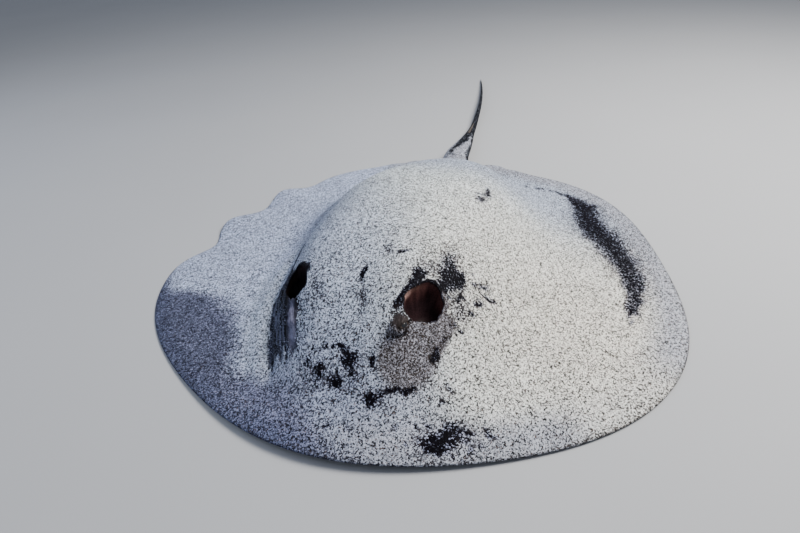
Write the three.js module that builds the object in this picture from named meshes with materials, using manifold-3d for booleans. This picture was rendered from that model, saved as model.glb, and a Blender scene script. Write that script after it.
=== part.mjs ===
// A grown round stingray resting on its belly, life size, as one still model.
//
// Millimetres, +Z up. The snout points to -Y, the tail to +Y, and +X is the animal's left side.
// All shapes are worked out round the middle of the disc, with the floor at z = 0. At the end the
// whole model is moved sideways, so that the middle of its bounding box stands over the origin.
//
// The disc is one solid between two height functions, a top and an underside. Plan outlines part
// it into the head, the trunk and the two pectoral fins, with a thin clearance between them.

import * as THREE from "three";
import { mergeVertices } from "three/addons/utils/BufferGeometryUtils.js";
import Module from "manifold-3d";

const wasm = await Module();
wasm.setup();

// ---------------------------------------------------------------- driving sizes

const DISC_WIDTH = 950;
const HALF_DISC = DISC_WIDTH / 2;
const CLEARANCE = 0.3; // between neighbouring parts
const RIM = 4; // thickness of the disc's margin
const FIN_RISE = 34; // how much thicker the fins' sheet is at the middle of the disc
const FIN_POWER = 0.8; // how quickly that thickness grows inwards from the margin

// The margin's radius over the half width: a cosine series of the angle from the snout.
const OUTLINE = [0.984, -0.014, -0.016, -0.017, -0.011, 0.0225];

// Ripples in the rear of the right fin's margin: angle from the snout and half width in degrees,
// how far the margin swings out or in over the half width of the disc, and how far it stands off
// the floor.
const RIPPLES = [
  { angle: -85, halfWidth: 6, swing: -0.072, lift: 0 },
  { angle: -97, halfWidth: 5, swing: 0.018, lift: 9 },
  { angle: -107, halfWidth: 5, swing: -0.03, lift: 0 },
  { angle: -117, halfWidth: 5, swing: 0.03, lift: 9 },
  { angle: -126, halfWidth: 5, swing: -0.03, lift: 0 },
];

// The mound of head and trunk over the fins' sheet. Each row holds the place along the body, the
// mound's height there, its half width and the steepness of its flank on the right side, and the
// same two on the left side, where the head's flank lies flatter.
const MOUND = [
  { y: -470, height: 0, right: 75, rightSteep: 2.5, left: 140, leftSteep: 2.4 },
  { y: -410, height: 20, right: 78, rightSteep: 2.8, left: 145, leftSteep: 2.4 },
  { y: -350, height: 54, right: 78, rightSteep: 3.2, left: 150, leftSteep: 2.6 },
  { y: -290, height: 88, right: 92, rightSteep: 3.0, left: 152, leftSteep: 3.2 },
  { y: -230, height: 110, right: 131, rightSteep: 3.8, left: 156, leftSteep: 3.6 },
  { y: -150, height: 120, right: 156, rightSteep: 4.6, left: 165, leftSteep: 3.6 },
  { y: -50, height: 124, right: 168, rightSteep: 4.2, left: 178, leftSteep: 3.6 },
  { y: 80, height: 120, right: 180, rightSteep: 3.6, left: 180, leftSteep: 3.6 },
  { y: 220, height: 94, right: 150, rightSteep: 3.2, left: 150, leftSteep: 3.2 },
  { y: 340, height: 64, right: 100, rightSteep: 3.0, left: 100, leftSteep: 3.0 },
  { y: 470, height: 36, right: 40, rightSteep: 2.6, left: 40, leftSteep: 2.6 },
];
const MOUND_FADE = 4.5; // how quickly the mound sinks into the fins near the margin

// Eyes and spiracles, given for the left side and mirrored to the right.
const EYE = { x: 86, y: -281, radius: 12, sunk: 7.5 };
const SPIRACLE = { x: 105, y: -235, halfWidth: 22, halfLength: 35, depth: 50, turn: -15, lean: 14, sunk: 6 };
const BOSS = { x: 92, y: -262, height: 12, halfWidth: 34, halfLength: 60 };
const TROUGH = { depth: 6, halfWidth: 36, front: [-370, -300], rear: [-200, -120] };

// The crease at the foot of the head's steep right flank, and the low welt outside it.
const CREASE = {
  line: [
    [-400, 88],
    [-345, 102],
    [-290, 136],
    [-202, 174],
    [-103, 194],
    [-40, 200],
  ],
  width: 9,
  depth: 8,
  welt: 6,
  weltOffset: 2.6,
  weltWidth: 1.8,
  front: [-390, -330],
  rear: [-120, -50],
};

// The margin stands off the floor a little under the snout and over the pelvic fins.
const LIFT_START = 0.8; // share of the radius where the margin starts to lift
const SNOUT_LIFT = { height: 10, angle: 3, halfWidth: 28 };

// Tail. Its middle line bends gently to the right: x = root + slope * t + bend * t * t, with t
// counted from the disc's rear margin.
const TAIL = { start: 395, margin: 450, end: 1225, rootX: -43, slope: 0.01, bend: -0.0002 };
const TAIL_SECTIONS = [
  { y: 380, halfWidth: 44, height: 47, fold: 0 },
  { y: 460, halfWidth: 36, height: 40, fold: 0 },
  { y: 540, halfWidth: 28, height: 32, fold: 0 },
  { y: 600, halfWidth: 20.5, height: 27, fold: 0 },
  { y: 660, halfWidth: 13, height: 23, fold: 0 },
  { y: 735, halfWidth: 8.6, height: 18, fold: 1 },
  { y: 820, halfWidth: 7, height: 14, fold: 9 },
  { y: 940, halfWidth: 5.2, height: 10.5, fold: 11 },
  { y: 1080, halfWidth: 3.4, height: 7, fold: 8 },
  { y: 1230, halfWidth: 1.4, height: 3.2, fold: 2.5 },
];
const TAIL_SPLITS = [630, 900]; // where the tail is parted into its three lengths
const TAIL_FLAT = 0.1; // share of the section's lower half that is flattened for rest
const FOLD = { start: 770, end: 1215, thickness: 3 };

// The sting: a flat, barbed blade that lies on the tail.
const STING = { start: 640, length: 96, halfWidth: 3.6, thickness: 3, barbs: 14, barb: 0.9, sunk: 1 };

// Pelvic fins: two rounded lobes under the disc's rear margin, one on each side of the tail.
const PELVIC = { angle: 11.5, halfAngle: 6.5, inner: 405, reach: 30, thickness: 5 };

// Where the disc is parted: half widths of head and trunk along the body.
const NECK = -175;
const HEAD_HALF = [
  [NECK, 152],
  [-520, 66],
];
const TRUNK_HALF = [
  [NECK, 152],
  [-60, 178],
  [80, 190],
  [220, 158],
  [330, 112],
  [425, 62],
];

// ---------------------------------------------------------------- small helpers

const radians = THREE.MathUtils.degToRad;
const smoothstep = THREE.MathUtils.smoothstep;

// Smooth curve through the points (xs[i], ys[i]), by cubic Hermite pieces.
function curveThrough(xs, ys, x) {
  const last = xs.length - 1;
  const at = Math.min(Math.max(x, xs[0]), xs[last]);
  let i = 0;
  while (i < last - 1 && at > xs[i + 1]) {
    i += 1;
  }
  const slope = (k) => {
    const before = Math.max(k - 1, 0);
    const after = Math.min(k + 1, last);
    return (ys[after] - ys[before]) / (xs[after] - xs[before]);
  };
  const step = xs[i + 1] - xs[i];
  const t = (at - xs[i]) / step;
  const t2 = t * t;
  const t3 = t2 * t;
  return (
    (2 * t3 - 3 * t2 + 1) * ys[i] +
    (t3 - 2 * t2 + t) * step * slope(i) +
    (3 * t2 - 2 * t3) * ys[i + 1] +
    (t3 - t2) * step * slope(i + 1)
  );
}

// One column of a list of rows, as a smooth function of the place along the body.
function alongBody(rows, key) {
  const places = rows.map((row) => row.y);
  const values = rows.map((row) => row[key]);
  return (y) => curveThrough(places, values, y);
}

function window(y, front, rear) {
  return smoothstep(y, front[0], front[1]) * (1 - smoothstep(y, rear[0], rear[1]));
}

// A closed geometry as a solid that can be joined and cut.
function solid(geometry) {
  const bare = geometry.clone();
  bare.deleteAttribute("normal");
  bare.deleteAttribute("uv");
  const merged = mergeVertices(bare, 1e-4);
  const vertProperties = new Float32Array(merged.attributes.position.array);
  const triVerts = new Uint32Array(merged.index.array);
  return new wasm.Manifold(new wasm.Mesh({ numProp: 3, vertProperties, triVerts }));
}

// A joined or cut solid back as geometry.
function geometryOf(body) {
  const mesh = body.getMesh();
  const geometry = new THREE.BufferGeometry();
  geometry.setAttribute("position", new THREE.BufferAttribute(new Float32Array(mesh.vertProperties), 3));
  geometry.setIndex(new THREE.BufferAttribute(new Uint32Array(mesh.triVerts), 1));
  geometry.computeVertexNormals();
  return geometry;
}

// A closed solid of rings of points: each ring is joined to the next, and both ends are capped.
function loft(rings) {
  const count = rings[0].length;
  const positions = [];
  const triangles = [];
  rings.forEach((ring) => ring.forEach((point) => positions.push(...point)));
  for (let k = 0; k < rings.length - 1; k += 1) {
    for (let i = 0; i < count; i += 1) {
      const a = k * count + i;
      const b = k * count + ((i + 1) % count);
      triangles.push(a, b, b + count, a, b + count, a + count);
    }
  }
  const lastRing = (rings.length - 1) * count;
  for (let i = 1; i < count - 1; i += 1) {
    triangles.push(0, i + 1, i);
    triangles.push(lastRing, lastRing + i, lastRing + i + 1);
  }
  const geometry = new THREE.BufferGeometry();
  geometry.setAttribute("position", new THREE.Float32BufferAttribute(positions, 3));
  geometry.setIndex(triangles);
  return geometry;
}

// An upright prism over a plan outline of [x, y] points.
function prism(outline, low, high) {
  const shape = new THREE.Shape(outline.map(([x, y]) => new THREE.Vector2(x, y)));
  const geometry = new THREE.ExtrudeGeometry(shape, { depth: high - low, bevelEnabled: false });
  geometry.translate(0, 0, low);
  return solid(geometry);
}

// ---------------------------------------------------------------- the body's surface

// The ripples' swing or lift at an angle round the disc.
function rippleAt(angle, key) {
  return RIPPLES.reduce((sum, ripple) => {
    const away = (angle - radians(ripple.angle)) / radians(ripple.halfWidth);
    return sum + ripple[key] * Math.exp(-away * away);
  }, 0);
}

function marginRadius(angle) {
  const shares = OUTLINE.map((share, k) => share * Math.cos(k * angle));
  return HALF_DISC * shares.reduce((sum, share) => sum + share, rippleAt(angle, "swing"));
}

function tailX(y) {
  const t = y - TAIL.margin;
  if (t < 0) {
    return TAIL.rootX * smoothstep(y, 250, TAIL.margin + 60) * 1.3;
  }
  const root = TAIL.rootX * smoothstep(Math.min(y, TAIL.margin + 60), 250, TAIL.margin + 60) * 1.3;
  return Math.min(root, TAIL.rootX) + TAIL.slope * t + TAIL.bend * t * t;
}

const tailAngle = Math.atan2(tailX(TAIL.margin), -TAIL.margin);

// How far the margin stands off the floor at an angle round the disc.
function marginLift(angle) {
  const fromSnout = (angle - radians(SNOUT_LIFT.angle)) / radians(SNOUT_LIFT.halfWidth);
  const snout = SNOUT_LIFT.height * Math.exp(-fromSnout * fromSnout);
  let fromTail = angle - tailAngle;
  fromTail = Math.abs(Math.atan2(Math.sin(fromTail), Math.cos(fromTail)));
  const reach = radians(PELVIC.angle + PELVIC.halfAngle);
  const rear = (PELVIC.thickness + 1.5) * (1 - smoothstep(fromTail, reach, reach + radians(8)));
  return snout + rear + rippleAt(angle, "lift");
}

function underside(share, angle) {
  return marginLift(angle) * smoothstep(share, LIFT_START, 0.97);
}

const moundHeight = alongBody(MOUND, "height");
const moundRight = alongBody(MOUND, "right");
const moundLeft = alongBody(MOUND, "left");
const steepRight = alongBody(MOUND, "rightSteep");
const steepLeft = alongBody(MOUND, "leftSteep");

function moundAt(x, y) {
  const aside = x - tailX(y);
  const halfWidth = aside > 0 ? moundLeft(y) : moundRight(y);
  const steep = aside > 0 ? steepLeft(y) : steepRight(y);
  return moundHeight(y) * Math.exp(-Math.LN2 * (Math.abs(aside) / halfWidth) ** steep);
}

function bossAt(x, y) {
  const aside = (Math.abs(x) - BOSS.x) / BOSS.halfWidth;
  const along = (y - BOSS.y) / BOSS.halfLength;
  return BOSS.height * Math.exp(-aside * aside - along * along);
}

function troughAt(x, y) {
  const aside = x / TROUGH.halfWidth;
  return TROUGH.depth * Math.exp(-aside * aside) * window(y, TROUGH.front, TROUGH.rear);
}

function creaseAt(x, y) {
  if (x > 0) {
    return 0;
  }
  const places = CREASE.line.map((point) => point[0]);
  const offsets = CREASE.line.map((point) => point[1]);
  const off = (-x - curveThrough(places, offsets, y)) / CREASE.width;
  const groove = CREASE.depth * Math.exp(-off * off);
  const outer = (off - CREASE.weltOffset) / CREASE.weltWidth;
  const welt = CREASE.welt * Math.exp(-outer * outer);
  return (groove - welt) * window(y, CREASE.front, CREASE.rear);
}

// Height of the back over the floor.
function back(x, y) {
  const angle = Math.atan2(x, -y);
  const share = Math.hypot(x, y) / marginRadius(angle);
  const inside = Math.max(1 - share * share, 0);
  const sheet = RIM + FIN_RISE * inside ** FIN_POWER;
  const mound = moundAt(x, y) * (1 - Math.exp(-MOUND_FADE * inside));
  const head = bossAt(x, y) - troughAt(x, y) - creaseAt(x, y);
  return underside(share, angle) + sheet + mound + head;
}

// ---------------------------------------------------------------- the whole disc

// A closed solid of the disc. angles and shares place the points of the back round the disc and
// from its middle to its margin; the underside is flat but for its lifted margin.
function discSolid(angles, shares) {
  const undersideShares = [0.5, LIFT_START, 0.86, 0.91, 1];
  const topRings = shares.map((share) =>
    angles.map((angle) => {
      const reach = share * marginRadius(angle);
      const x = reach * Math.sin(angle);
      const y = -reach * Math.cos(angle);
      return [x, y, back(x, y)];
    }),
  );
  const lowRings = undersideShares.map((share) =>
    angles.map((angle) => {
      const reach = share * marginRadius(angle);
      return [reach * Math.sin(angle), -reach * Math.cos(angle), underside(share, angle)];
    }),
  );
  const rings = [...lowRings, ...topRings.reverse()];
  return solid(loft([collapse(lowRings[0], 0), ...rings, collapse(topRings[0], back(0, 0))]));
}

// A ring shrunk to a dot just round the middle of the disc.
function collapse(ring, height) {
  return ring.map(([x, y]) => [x * 1e-3, y * 1e-3, height]);
}

function evenSteps(from, to, count) {
  return Array.from({ length: count }, (_, i) => from + ((to - from) * i) / count);
}

// ---------------------------------------------------------------- plan outlines

// Outline of a region that runs along the body between two half-width lines.
function planRegion(halves, grow, front, rear) {
  const clipped = halves.map(([y, half]) => [half + grow, y]);
  clipped[0][1] = front;
  clipped[clipped.length - 1][1] = rear;
  const left = clipped.map(([half, y]) => [half, y]);
  const right = clipped.map(([half, y]) => [-half, y]).reverse();
  return [...left, ...right];
}

function headRegion(grow) {
  return prism(planRegion([...HEAD_HALF].reverse(), grow, -520, NECK + grow), -10, 300);
}

function trunkRegion(grow) {
  const rear = TRUNK_HALF[TRUNK_HALF.length - 1][0];
  return prism(planRegion(TRUNK_HALF, grow, NECK - grow, rear + grow), -10, 300);
}

// ---------------------------------------------------------------- eyes and spiracles

function eyeSolid(side, grow) {
  const geometry = new THREE.SphereGeometry(EYE.radius + grow, 18, 10);
  const surface = back(side * EYE.x, EYE.y);
  geometry.translate(side * EYE.x, EYE.y, surface - EYE.sunk);
  return solid(geometry);
}

// The spiracle's throat: an egg-shaped hollow that leads down and a little inwards.
function throatSolid(side) {
  const geometry = new THREE.SphereGeometry(1, 22, 14);
  geometry.scale(SPIRACLE.halfWidth, SPIRACLE.halfLength, SPIRACLE.depth);
  geometry.rotateY(radians(side * SPIRACLE.lean));
  geometry.rotateZ(radians(side * SPIRACLE.turn));
  const x = side * SPIRACLE.x;
  geometry.translate(x, SPIRACLE.y, back(x, SPIRACLE.y) - SPIRACLE.sunk);
  return solid(geometry);
}

// ---------------------------------------------------------------- tail, fold and sting

const tailHalfWidth = alongBody(TAIL_SECTIONS, "halfWidth");
const tailHeight = alongBody(TAIL_SECTIONS, "height");
const foldCurve = alongBody(TAIL_SECTIONS, "fold");
const foldDepth = (y) => Math.max(foldCurve(y), 0);

// One rounded section across the tail, flattened below where it rests.
function tailRing(y, grow) {
  const sides = 16;
  const half = tailHalfWidth(y) + grow;
  const radius = tailHeight(y) / (2 - TAIL_FLAT) + grow;
  const low = foldDepth(y);
  const middle = foldDepth(y) + tailHeight(y) / (2 - TAIL_FLAT) - TAIL_FLAT * radius;
  return evenSteps(0, 2 * Math.PI, sides).map((turn) => [
    tailX(y) + half * Math.cos(turn),
    y,
    Math.max(middle + radius * Math.sin(turn), low),
  ]);
}

// A length of the tail between two places along the body.
function tailLength(from, to, grow) {
  const count = Math.max(Math.round((to - from) / 30), 4);
  const places = [...evenSteps(from, to, count), to];
  return solid(loft(places.map((y) => tailRing(y, grow)).reverse()));
}

// The skin fold that hangs under the rear of the tail and rests on the floor.
function tailFold() {
  const count = 26;
  const places = [...evenSteps(FOLD.start, FOLD.end, count), FOLD.end];
  const rings = places.map((y) => {
    const half = FOLD.thickness / 2;
    const taper = 1 - 0.5 * smoothstep(y, FOLD.end - 150, FOLD.end);
    const top = foldDepth(y) - CLEARANCE;
    const x = tailX(y);
    return [
      [x + half * taper, y, 0],
      [x + half * taper, y, top],
      [x - half * taper, y, top],
      [x - half * taper, y, 0],
    ];
  });
  return solid(loft(rings.reverse()));
}

// The sting's plan outline: two barbed edges that run together in a point.
function stingOutline(grow) {
  const edge = [];
  for (let i = 0; i < STING.barbs; i += 1) {
    const t = i / STING.barbs;
    const half = STING.halfWidth * (1 - t ** 2.2) + grow;
    const barb = i > 1 ? STING.barb : 0;
    edge.push([half - barb * 0.4, t * STING.length]);
    edge.push([half + barb * 0.6, (t + 0.2 / STING.barbs) * STING.length]);
  }
  const point = [0, STING.length + grow];
  const other = edge.map(([x, y]) => [-x, y]).reverse();
  return [...edge, point, ...other];
}

function stingSolid(grow) {
  const shape = new THREE.Shape(stingOutline(grow).map(([x, y]) => new THREE.Vector2(x, y)));
  const thickness = STING.thickness + 2 * grow;
  const geometry = new THREE.ExtrudeGeometry(shape, { depth: thickness, bevelEnabled: false });
  geometry.translate(0, -grow, -grow);
  const end = STING.start + STING.length;
  const topAt = (y) => foldDepth(y) + tailHeight(y);
  const drop = topAt(STING.start) - topAt(end);
  geometry.rotateX(-Math.atan2(drop * 0.7, STING.length));
  geometry.rotateZ(Math.atan2(tailX(STING.start) - tailX(end), STING.length));
  geometry.translate(tailX(STING.start), STING.start, topAt(STING.start) - STING.sunk);
  return solid(geometry);
}

// ---------------------------------------------------------------- pelvic fins

// A rounded lobe beside the tail. grow widens it on all sides, to cut its place in the disc.
function pelvicSolid(side, grow) {
  const middle = tailAngle - side * radians(PELVIC.angle);
  const half = radians(PELVIC.halfAngle);
  const steps = 14;
  const outer = [];
  for (let i = 0; i <= steps; i += 1) {
    const t = -1 + (2 * i) / steps;
    const angle = middle + t * (half + grow / marginRadius(middle));
    const reach = marginRadius(angle) + (PELVIC.reach + grow) * (2 * Math.sqrt(1 - t * t) - 1);
    outer.push([reach * Math.sin(angle), -reach * Math.cos(angle)]);
  }
  const root = [-0.55, 0.55].map((t) => {
    const angle = middle - t * half;
    const reach = PELVIC.inner - grow;
    return [reach * Math.sin(angle), -reach * Math.cos(angle)];
  });
  return prism([...outer, ...root], -grow, PELVIC.thickness + grow);
}

// ---------------------------------------------------------------- materials

function material(colour, roughness) {
  return new THREE.MeshStandardMaterial({ color: colour, roughness, metalness: 0 });
}

const MATERIALS = {
  dustedBack: material("#b9b8b4", 0.95),
  dustedFin: material("#b3b1b4", 0.95),
  darkSkin: material("#23222a", 0.6),
  eye: material("#3a2c20", 0.15),
  sting: material("#6b5d4c", 0.5),
};

// ---------------------------------------------------------------- assembly

// The trunk and the fins are cut from a disc whose points stand closer where the margin ripples.
const coarseDisc = discSolid(
  [
    ...evenSteps(-Math.PI, radians(-133), 10),
    ...evenSteps(radians(-133), radians(-76), 19),
    ...evenSteps(radians(-76), Math.PI, 51),
  ],
  [0.1, 0.2, 0.28, 0.36, 0.43, 0.5, 0.57, 0.64, 0.71, 0.78, 0.84, 0.9, 0.95, 1],
);

// The head's own disc has its points close together towards the snout.
function headDisc() {
  const front = radians(42);
  const angles = [
    ...evenSteps(-Math.PI, -front, 14),
    ...evenSteps(-front, front, 40),
    ...evenSteps(front, Math.PI, 14),
  ];
  const shares = [0.2, ...evenSteps(0.33, 1, 22), 1];
  return discSolid(angles, shares);
}

const tailRoot = tailLength(TAIL.start, TAIL_SPLITS[0], CLEARANCE);
const pelvicRoom = pelvicSolid(1, CLEARANCE).add(pelvicSolid(-1, CLEARANCE));
const stingRoom = stingSolid(CLEARANCE);

function head() {
  let body = headDisc().intersect(headRegion(0));
  for (const side of [-1, 1]) {
    body = body.subtract(throatSolid(side)).subtract(eyeSolid(side, CLEARANCE));
  }
  return body;
}

function trunk() {
  return coarseDisc
    .intersect(trunkRegion(0))
    .subtract(headRegion(CLEARANCE))
    .subtract(tailRoot)
    .subtract(pelvicRoom);
}

// Everything on one side of the body's middle line, which follows the tail at the rear.
function sideRegion(side) {
  const rear = evenSteps(240, 600, 8).map((y) => [tailX(y), y]);
  const middleLine = [[0, -600], ...rear, [tailX(600), 600]];
  const inner = middleLine.map(([x, y]) => [x + side * CLEARANCE, y]);
  return prism([...inner, [side * 600, 600], [side * 600, -600]], -10, 300);
}

function pectoralFin(side) {
  return coarseDisc
    .intersect(sideRegion(side))
    .subtract(headRegion(CLEARANCE))
    .subtract(trunkRegion(CLEARANCE))
    .subtract(tailRoot)
    .subtract(pelvicRoom);
}

const [split1, split2] = TAIL_SPLITS;
const parts = [
  ["head", head(), MATERIALS.dustedBack],
  ["trunk", trunk(), MATERIALS.dustedBack],
  ["tail_base", tailLength(TAIL.start, split1 - CLEARANCE, 0).subtract(pelvicRoom), MATERIALS.darkSkin],
  ["tail_middle", tailLength(split1, split2 - CLEARANCE, 0).subtract(stingRoom), MATERIALS.darkSkin],
  ["tail_tip", tailLength(split2, TAIL.end, 0), MATERIALS.darkSkin],
  ["tail_fold", tailFold(), MATERIALS.darkSkin],
  ["sting", stingSolid(0), MATERIALS.sting],
];
for (const [side, name] of [
  [1, "left"],
  [-1, "right"],
]) {
  parts.push([`pectoral_fin_${name}`, pectoralFin(side), MATERIALS.dustedFin]);
  parts.push([`pelvic_fin_${name}`, pelvicSolid(side, 0).subtract(tailRoot), MATERIALS.dustedFin]);
  parts.push([`eye_${name}`, eyeSolid(side, 0), MATERIALS.eye]);
}

const stingray = new THREE.Group();
for (const [name, body, finish] of parts) {
  const mesh = new THREE.Mesh(geometryOf(body), finish);
  mesh.name = name;
  stingray.add(mesh);
}

// Move the middle of the model's bounding box over the origin.
const box = new THREE.Box3().setFromObject(stingray);
const middle = box.getCenter(new THREE.Vector3());
stingray.position.set(-middle.x, -middle.y, 0);

export default stingray;
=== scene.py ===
"""A grown round stingray resting on its belly, dusted with sand, as a still life-size model.

The shape repeats the height functions of the CAD model, in metres, round the middle of the disc:
the snout points to -Y, the tail to +Y, and +X is the animal's left side. One skin replaces every
node of flesh. It is made as a plan grid for the back, one for the underside and rings for the tail.
"""

import math

import bmesh
import bpy
import numpy as np
from mathutils import Matrix, Vector


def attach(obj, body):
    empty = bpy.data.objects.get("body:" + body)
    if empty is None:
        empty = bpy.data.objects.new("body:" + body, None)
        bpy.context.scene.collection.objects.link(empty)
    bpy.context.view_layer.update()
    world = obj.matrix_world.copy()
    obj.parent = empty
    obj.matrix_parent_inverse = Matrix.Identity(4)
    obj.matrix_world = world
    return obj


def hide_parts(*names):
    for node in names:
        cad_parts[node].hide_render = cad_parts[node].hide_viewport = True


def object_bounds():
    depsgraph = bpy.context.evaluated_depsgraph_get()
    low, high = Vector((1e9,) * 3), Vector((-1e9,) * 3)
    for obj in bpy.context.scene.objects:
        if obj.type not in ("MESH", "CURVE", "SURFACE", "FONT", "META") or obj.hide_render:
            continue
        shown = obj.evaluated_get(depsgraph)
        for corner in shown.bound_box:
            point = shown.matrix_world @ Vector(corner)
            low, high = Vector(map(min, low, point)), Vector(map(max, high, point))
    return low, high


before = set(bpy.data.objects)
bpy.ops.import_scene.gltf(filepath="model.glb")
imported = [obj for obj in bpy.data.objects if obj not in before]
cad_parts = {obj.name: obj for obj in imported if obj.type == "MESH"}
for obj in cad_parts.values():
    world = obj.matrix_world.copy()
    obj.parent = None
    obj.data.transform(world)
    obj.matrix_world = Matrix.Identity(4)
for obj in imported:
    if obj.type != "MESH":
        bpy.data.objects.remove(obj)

CAD_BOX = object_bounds()

# ---- driving sizes, in metres

# the margin's distance from the middle, as a cosine series of the angle from the snout
OUTLINE = [0.984, -0.014, -0.016, -0.017, -0.011, 0.0225]
# ripples in the right fin's margin: angle and half width in degrees, swing over the half disc, lift
RIPPLES = [
    (-85, 6, -0.072, 0.000),
    (-97, 5, 0.018, 0.009),
    (-107, 5, -0.030, 0.000),
    (-117, 5, 0.030, 0.009),
    (-126, 5, -0.030, 0.000),
]
RIM = 0.004
FIN_RISE = 0.034
FIN_POWER = 0.8
MOUND_FADE = 4.5
INSET = 0.0005  # how far the skin lies inside the CAD solids
FLOOR_GAP = 0.4 * INSET
MARGIN_INSET = 0.0003

# place along the body, height, half width and steepness on the right, the same two on the left
MOUND = np.array([
    [-0.470, 0.000, 0.075, 2.5, 0.140, 2.4],
    [-0.410, 0.020, 0.078, 2.8, 0.145, 2.4],
    [-0.350, 0.054, 0.078, 3.2, 0.150, 2.6],
    [-0.290, 0.088, 0.092, 3.0, 0.152, 3.2],
    [-0.230, 0.110, 0.131, 3.8, 0.156, 3.6],
    [-0.150, 0.120, 0.156, 4.6, 0.165, 3.6],
    [-0.050, 0.124, 0.168, 4.2, 0.178, 3.6],
    [0.080, 0.120, 0.180, 3.6, 0.180, 3.6],
    [0.220, 0.094, 0.150, 3.2, 0.150, 3.2],
    [0.340, 0.064, 0.100, 3.0, 0.100, 3.0],
    [0.470, 0.036, 0.040, 2.6, 0.040, 2.6],
])

EYE = dict(x=0.086, y=-0.281, radius=0.012, sunk=0.0075, clearance=0.0004, bulge=0.02)
# the opening between the lids is measured in shares of the eye's radius
LIDS = dict(stretch=1.45, half_length=0.72, half_height=0.20, thick=0.0012, reach=0.009)
LIDS.update(ridge=0.0011, furrow=0.0009, gap_depth=0.0025)
# Spiracles of the right (-1) and left (1) side. The right one stands less open than its pit in
# the CAD. corners is the power of the rim's curve: 2 gives an oval, less gives corners at the
# ends of its axes. flat cuts off the side towards the middle of the back, torn makes it uneven.
SPIRACLE = {
    -1: dict(x=0.106, y=-0.229, half_width=0.0190, half_length=0.036, depth=0.045),
    1: dict(x=0.105, y=-0.236, half_width=0.0250, half_length=0.036, depth=0.048),
}
SPIRACLE[-1].update(turn=-44, flat=0.0170, corners=3.0, torn=0.010)
SPIRACLE[1].update(turn=-12, flat=0.0185, corners=1.7, torn=0.030)
RIM_CATCH = 0.018  # points this close to a spiracle's rim, in shares of its reach, move onto it
BOSS = dict(x=0.092, y=-0.262, height=0.012, half_width=0.034, half_length=0.060)
TROUGH = dict(depth=0.006, half_width=0.036, front=(-0.370, -0.300), rear=(-0.200, -0.120))

# the crease at the foot of the right flank: place along the body, distance from the middle
CREASE_LINE = np.array([
    [-0.400, 0.088],
    [-0.345, 0.102],
    [-0.290, 0.136],
    [-0.202, 0.174],
    [-0.103, 0.194],
    [-0.040, 0.200],
])
CREASE = dict(width=0.009, depth=0.008, front=(-0.390, -0.330), rear=(-0.120, -0.050))
WELT = dict(height=0.006, offset=2.6, width=1.8)  # the swelling beside it, in crease widths

LIFT_SHARES = (0.8, 0.97)  # where the underside leaves the floor towards the margin
SNOUT_LIFT = dict(height=0.010, angle=3, half_width=28)

TAIL = dict(margin=0.450, end=1.224, root_x=-0.043, root_swing=1.3, slope=0.010, bend=-0.200)
ARCH = dict(from_y=0.36, rise=(0.370, 0.430), blend=0.006)  # the tail's root in the back
# place along the body, half width, height of the core, depth of the fold under it
TAIL_SECTIONS = np.array([
    [0.380, 0.0440, 0.0470, 0.0],
    [0.460, 0.0360, 0.0400, 0.0],
    [0.540, 0.0280, 0.0320, 0.0],
    [0.600, 0.0205, 0.0270, 0.0],
    [0.660, 0.0130, 0.0230, 0.0],
    [0.735, 0.0086, 0.0180, 0.001],
    [0.820, 0.0070, 0.0140, 0.009],
    [0.940, 0.0052, 0.0105, 0.011],
    [1.080, 0.0034, 0.0070, 0.008],
    [1.230, 0.0014, 0.0032, 0.0025],
])

STING = dict(start=0.640, length=0.096, half_width=0.0036, thickness=0.003, sunk=0.001, barbs=26)
PELVIC = dict(angle=11.5, half_angle=6.5, inner=0.405, reach=0.030, thickness=0.005, gap=0.0015)

MOUTH = dict(y=-0.272, half_width=0.038, bend=3.2, gap=0.0080, lips=0.0028, bowl=0.0040, curtain=0.0024)
NOSTRIL = dict(x=0.036, ahead=0.024, depth=0.0070)
GILLS = dict(count=5, first_y=-0.190, step=0.040, first_x=0.092, inward=0.008, half_length=0.013)
GILL_DEPTH = 0.0050
VENT = dict(y=0.362, half_length=0.016, depth=0.0055, dent=0.0018)
# heights of the small relief of the back: folds of the flank, swellings, rays and sand drifts
RELIEF = dict(folds=0.0013, swell=0.0012, rays=0.0007, drift=0.0009, groove=0.0012, sunk=0.0009)

# the grid: sizes of its columns in degrees, and how many of them run into the top of the tail
COARSE_COLUMN = 1.8
FINE_COLUMN = 0.9
FINE_ANGLES = (-64, 48)
TAIL_COLUMNS = 17
TAIL_RING = 2 * TAIL_COLUMNS + 2  # points round the tail, with one more at either side
TAIL_STEPS = 130
ROOT_STEPS = 16  # rings over which the tail takes its own section
TIP_LENGTH = 0.0012
RIM_SHARE = 0.994  # share of the radius where the rounded edge of the disc begins


# ---- curves and noise

def curve(table, column, x):
    """Smooth curve through a column of a table over its first one, as in the CAD model."""
    xs = table[:, 0]
    ys = table[:, column]
    last = len(xs) - 1
    before = np.maximum(np.arange(len(xs)) - 1, 0)
    after = np.minimum(np.arange(len(xs)) + 1, last)
    slopes = (ys[after] - ys[before]) / (xs[after] - xs[before])
    at = np.clip(x, xs[0], xs[-1])
    i = np.clip(np.searchsorted(xs, at) - 1, 0, last - 1)
    step = xs[i + 1] - xs[i]
    t = (at - xs[i]) / step
    value = (2 * t**3 - 3 * t**2 + 1) * ys[i] + (t**3 - 2 * t**2 + t) * step * slopes[i]
    return value + (3 * t**2 - 2 * t**3) * ys[i + 1] + (t**3 - t**2) * step * slopes[i + 1]


def ramp(x, low, high):
    """0 up to low and 1 from high on, with a smooth change between them."""
    t = np.clip((x - low) / (high - low), 0, 1)
    return t * t * (3 - 2 * t)


def window(x, front, rear):
    return ramp(x, *front) * (1 - ramp(x, *rear))


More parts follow.
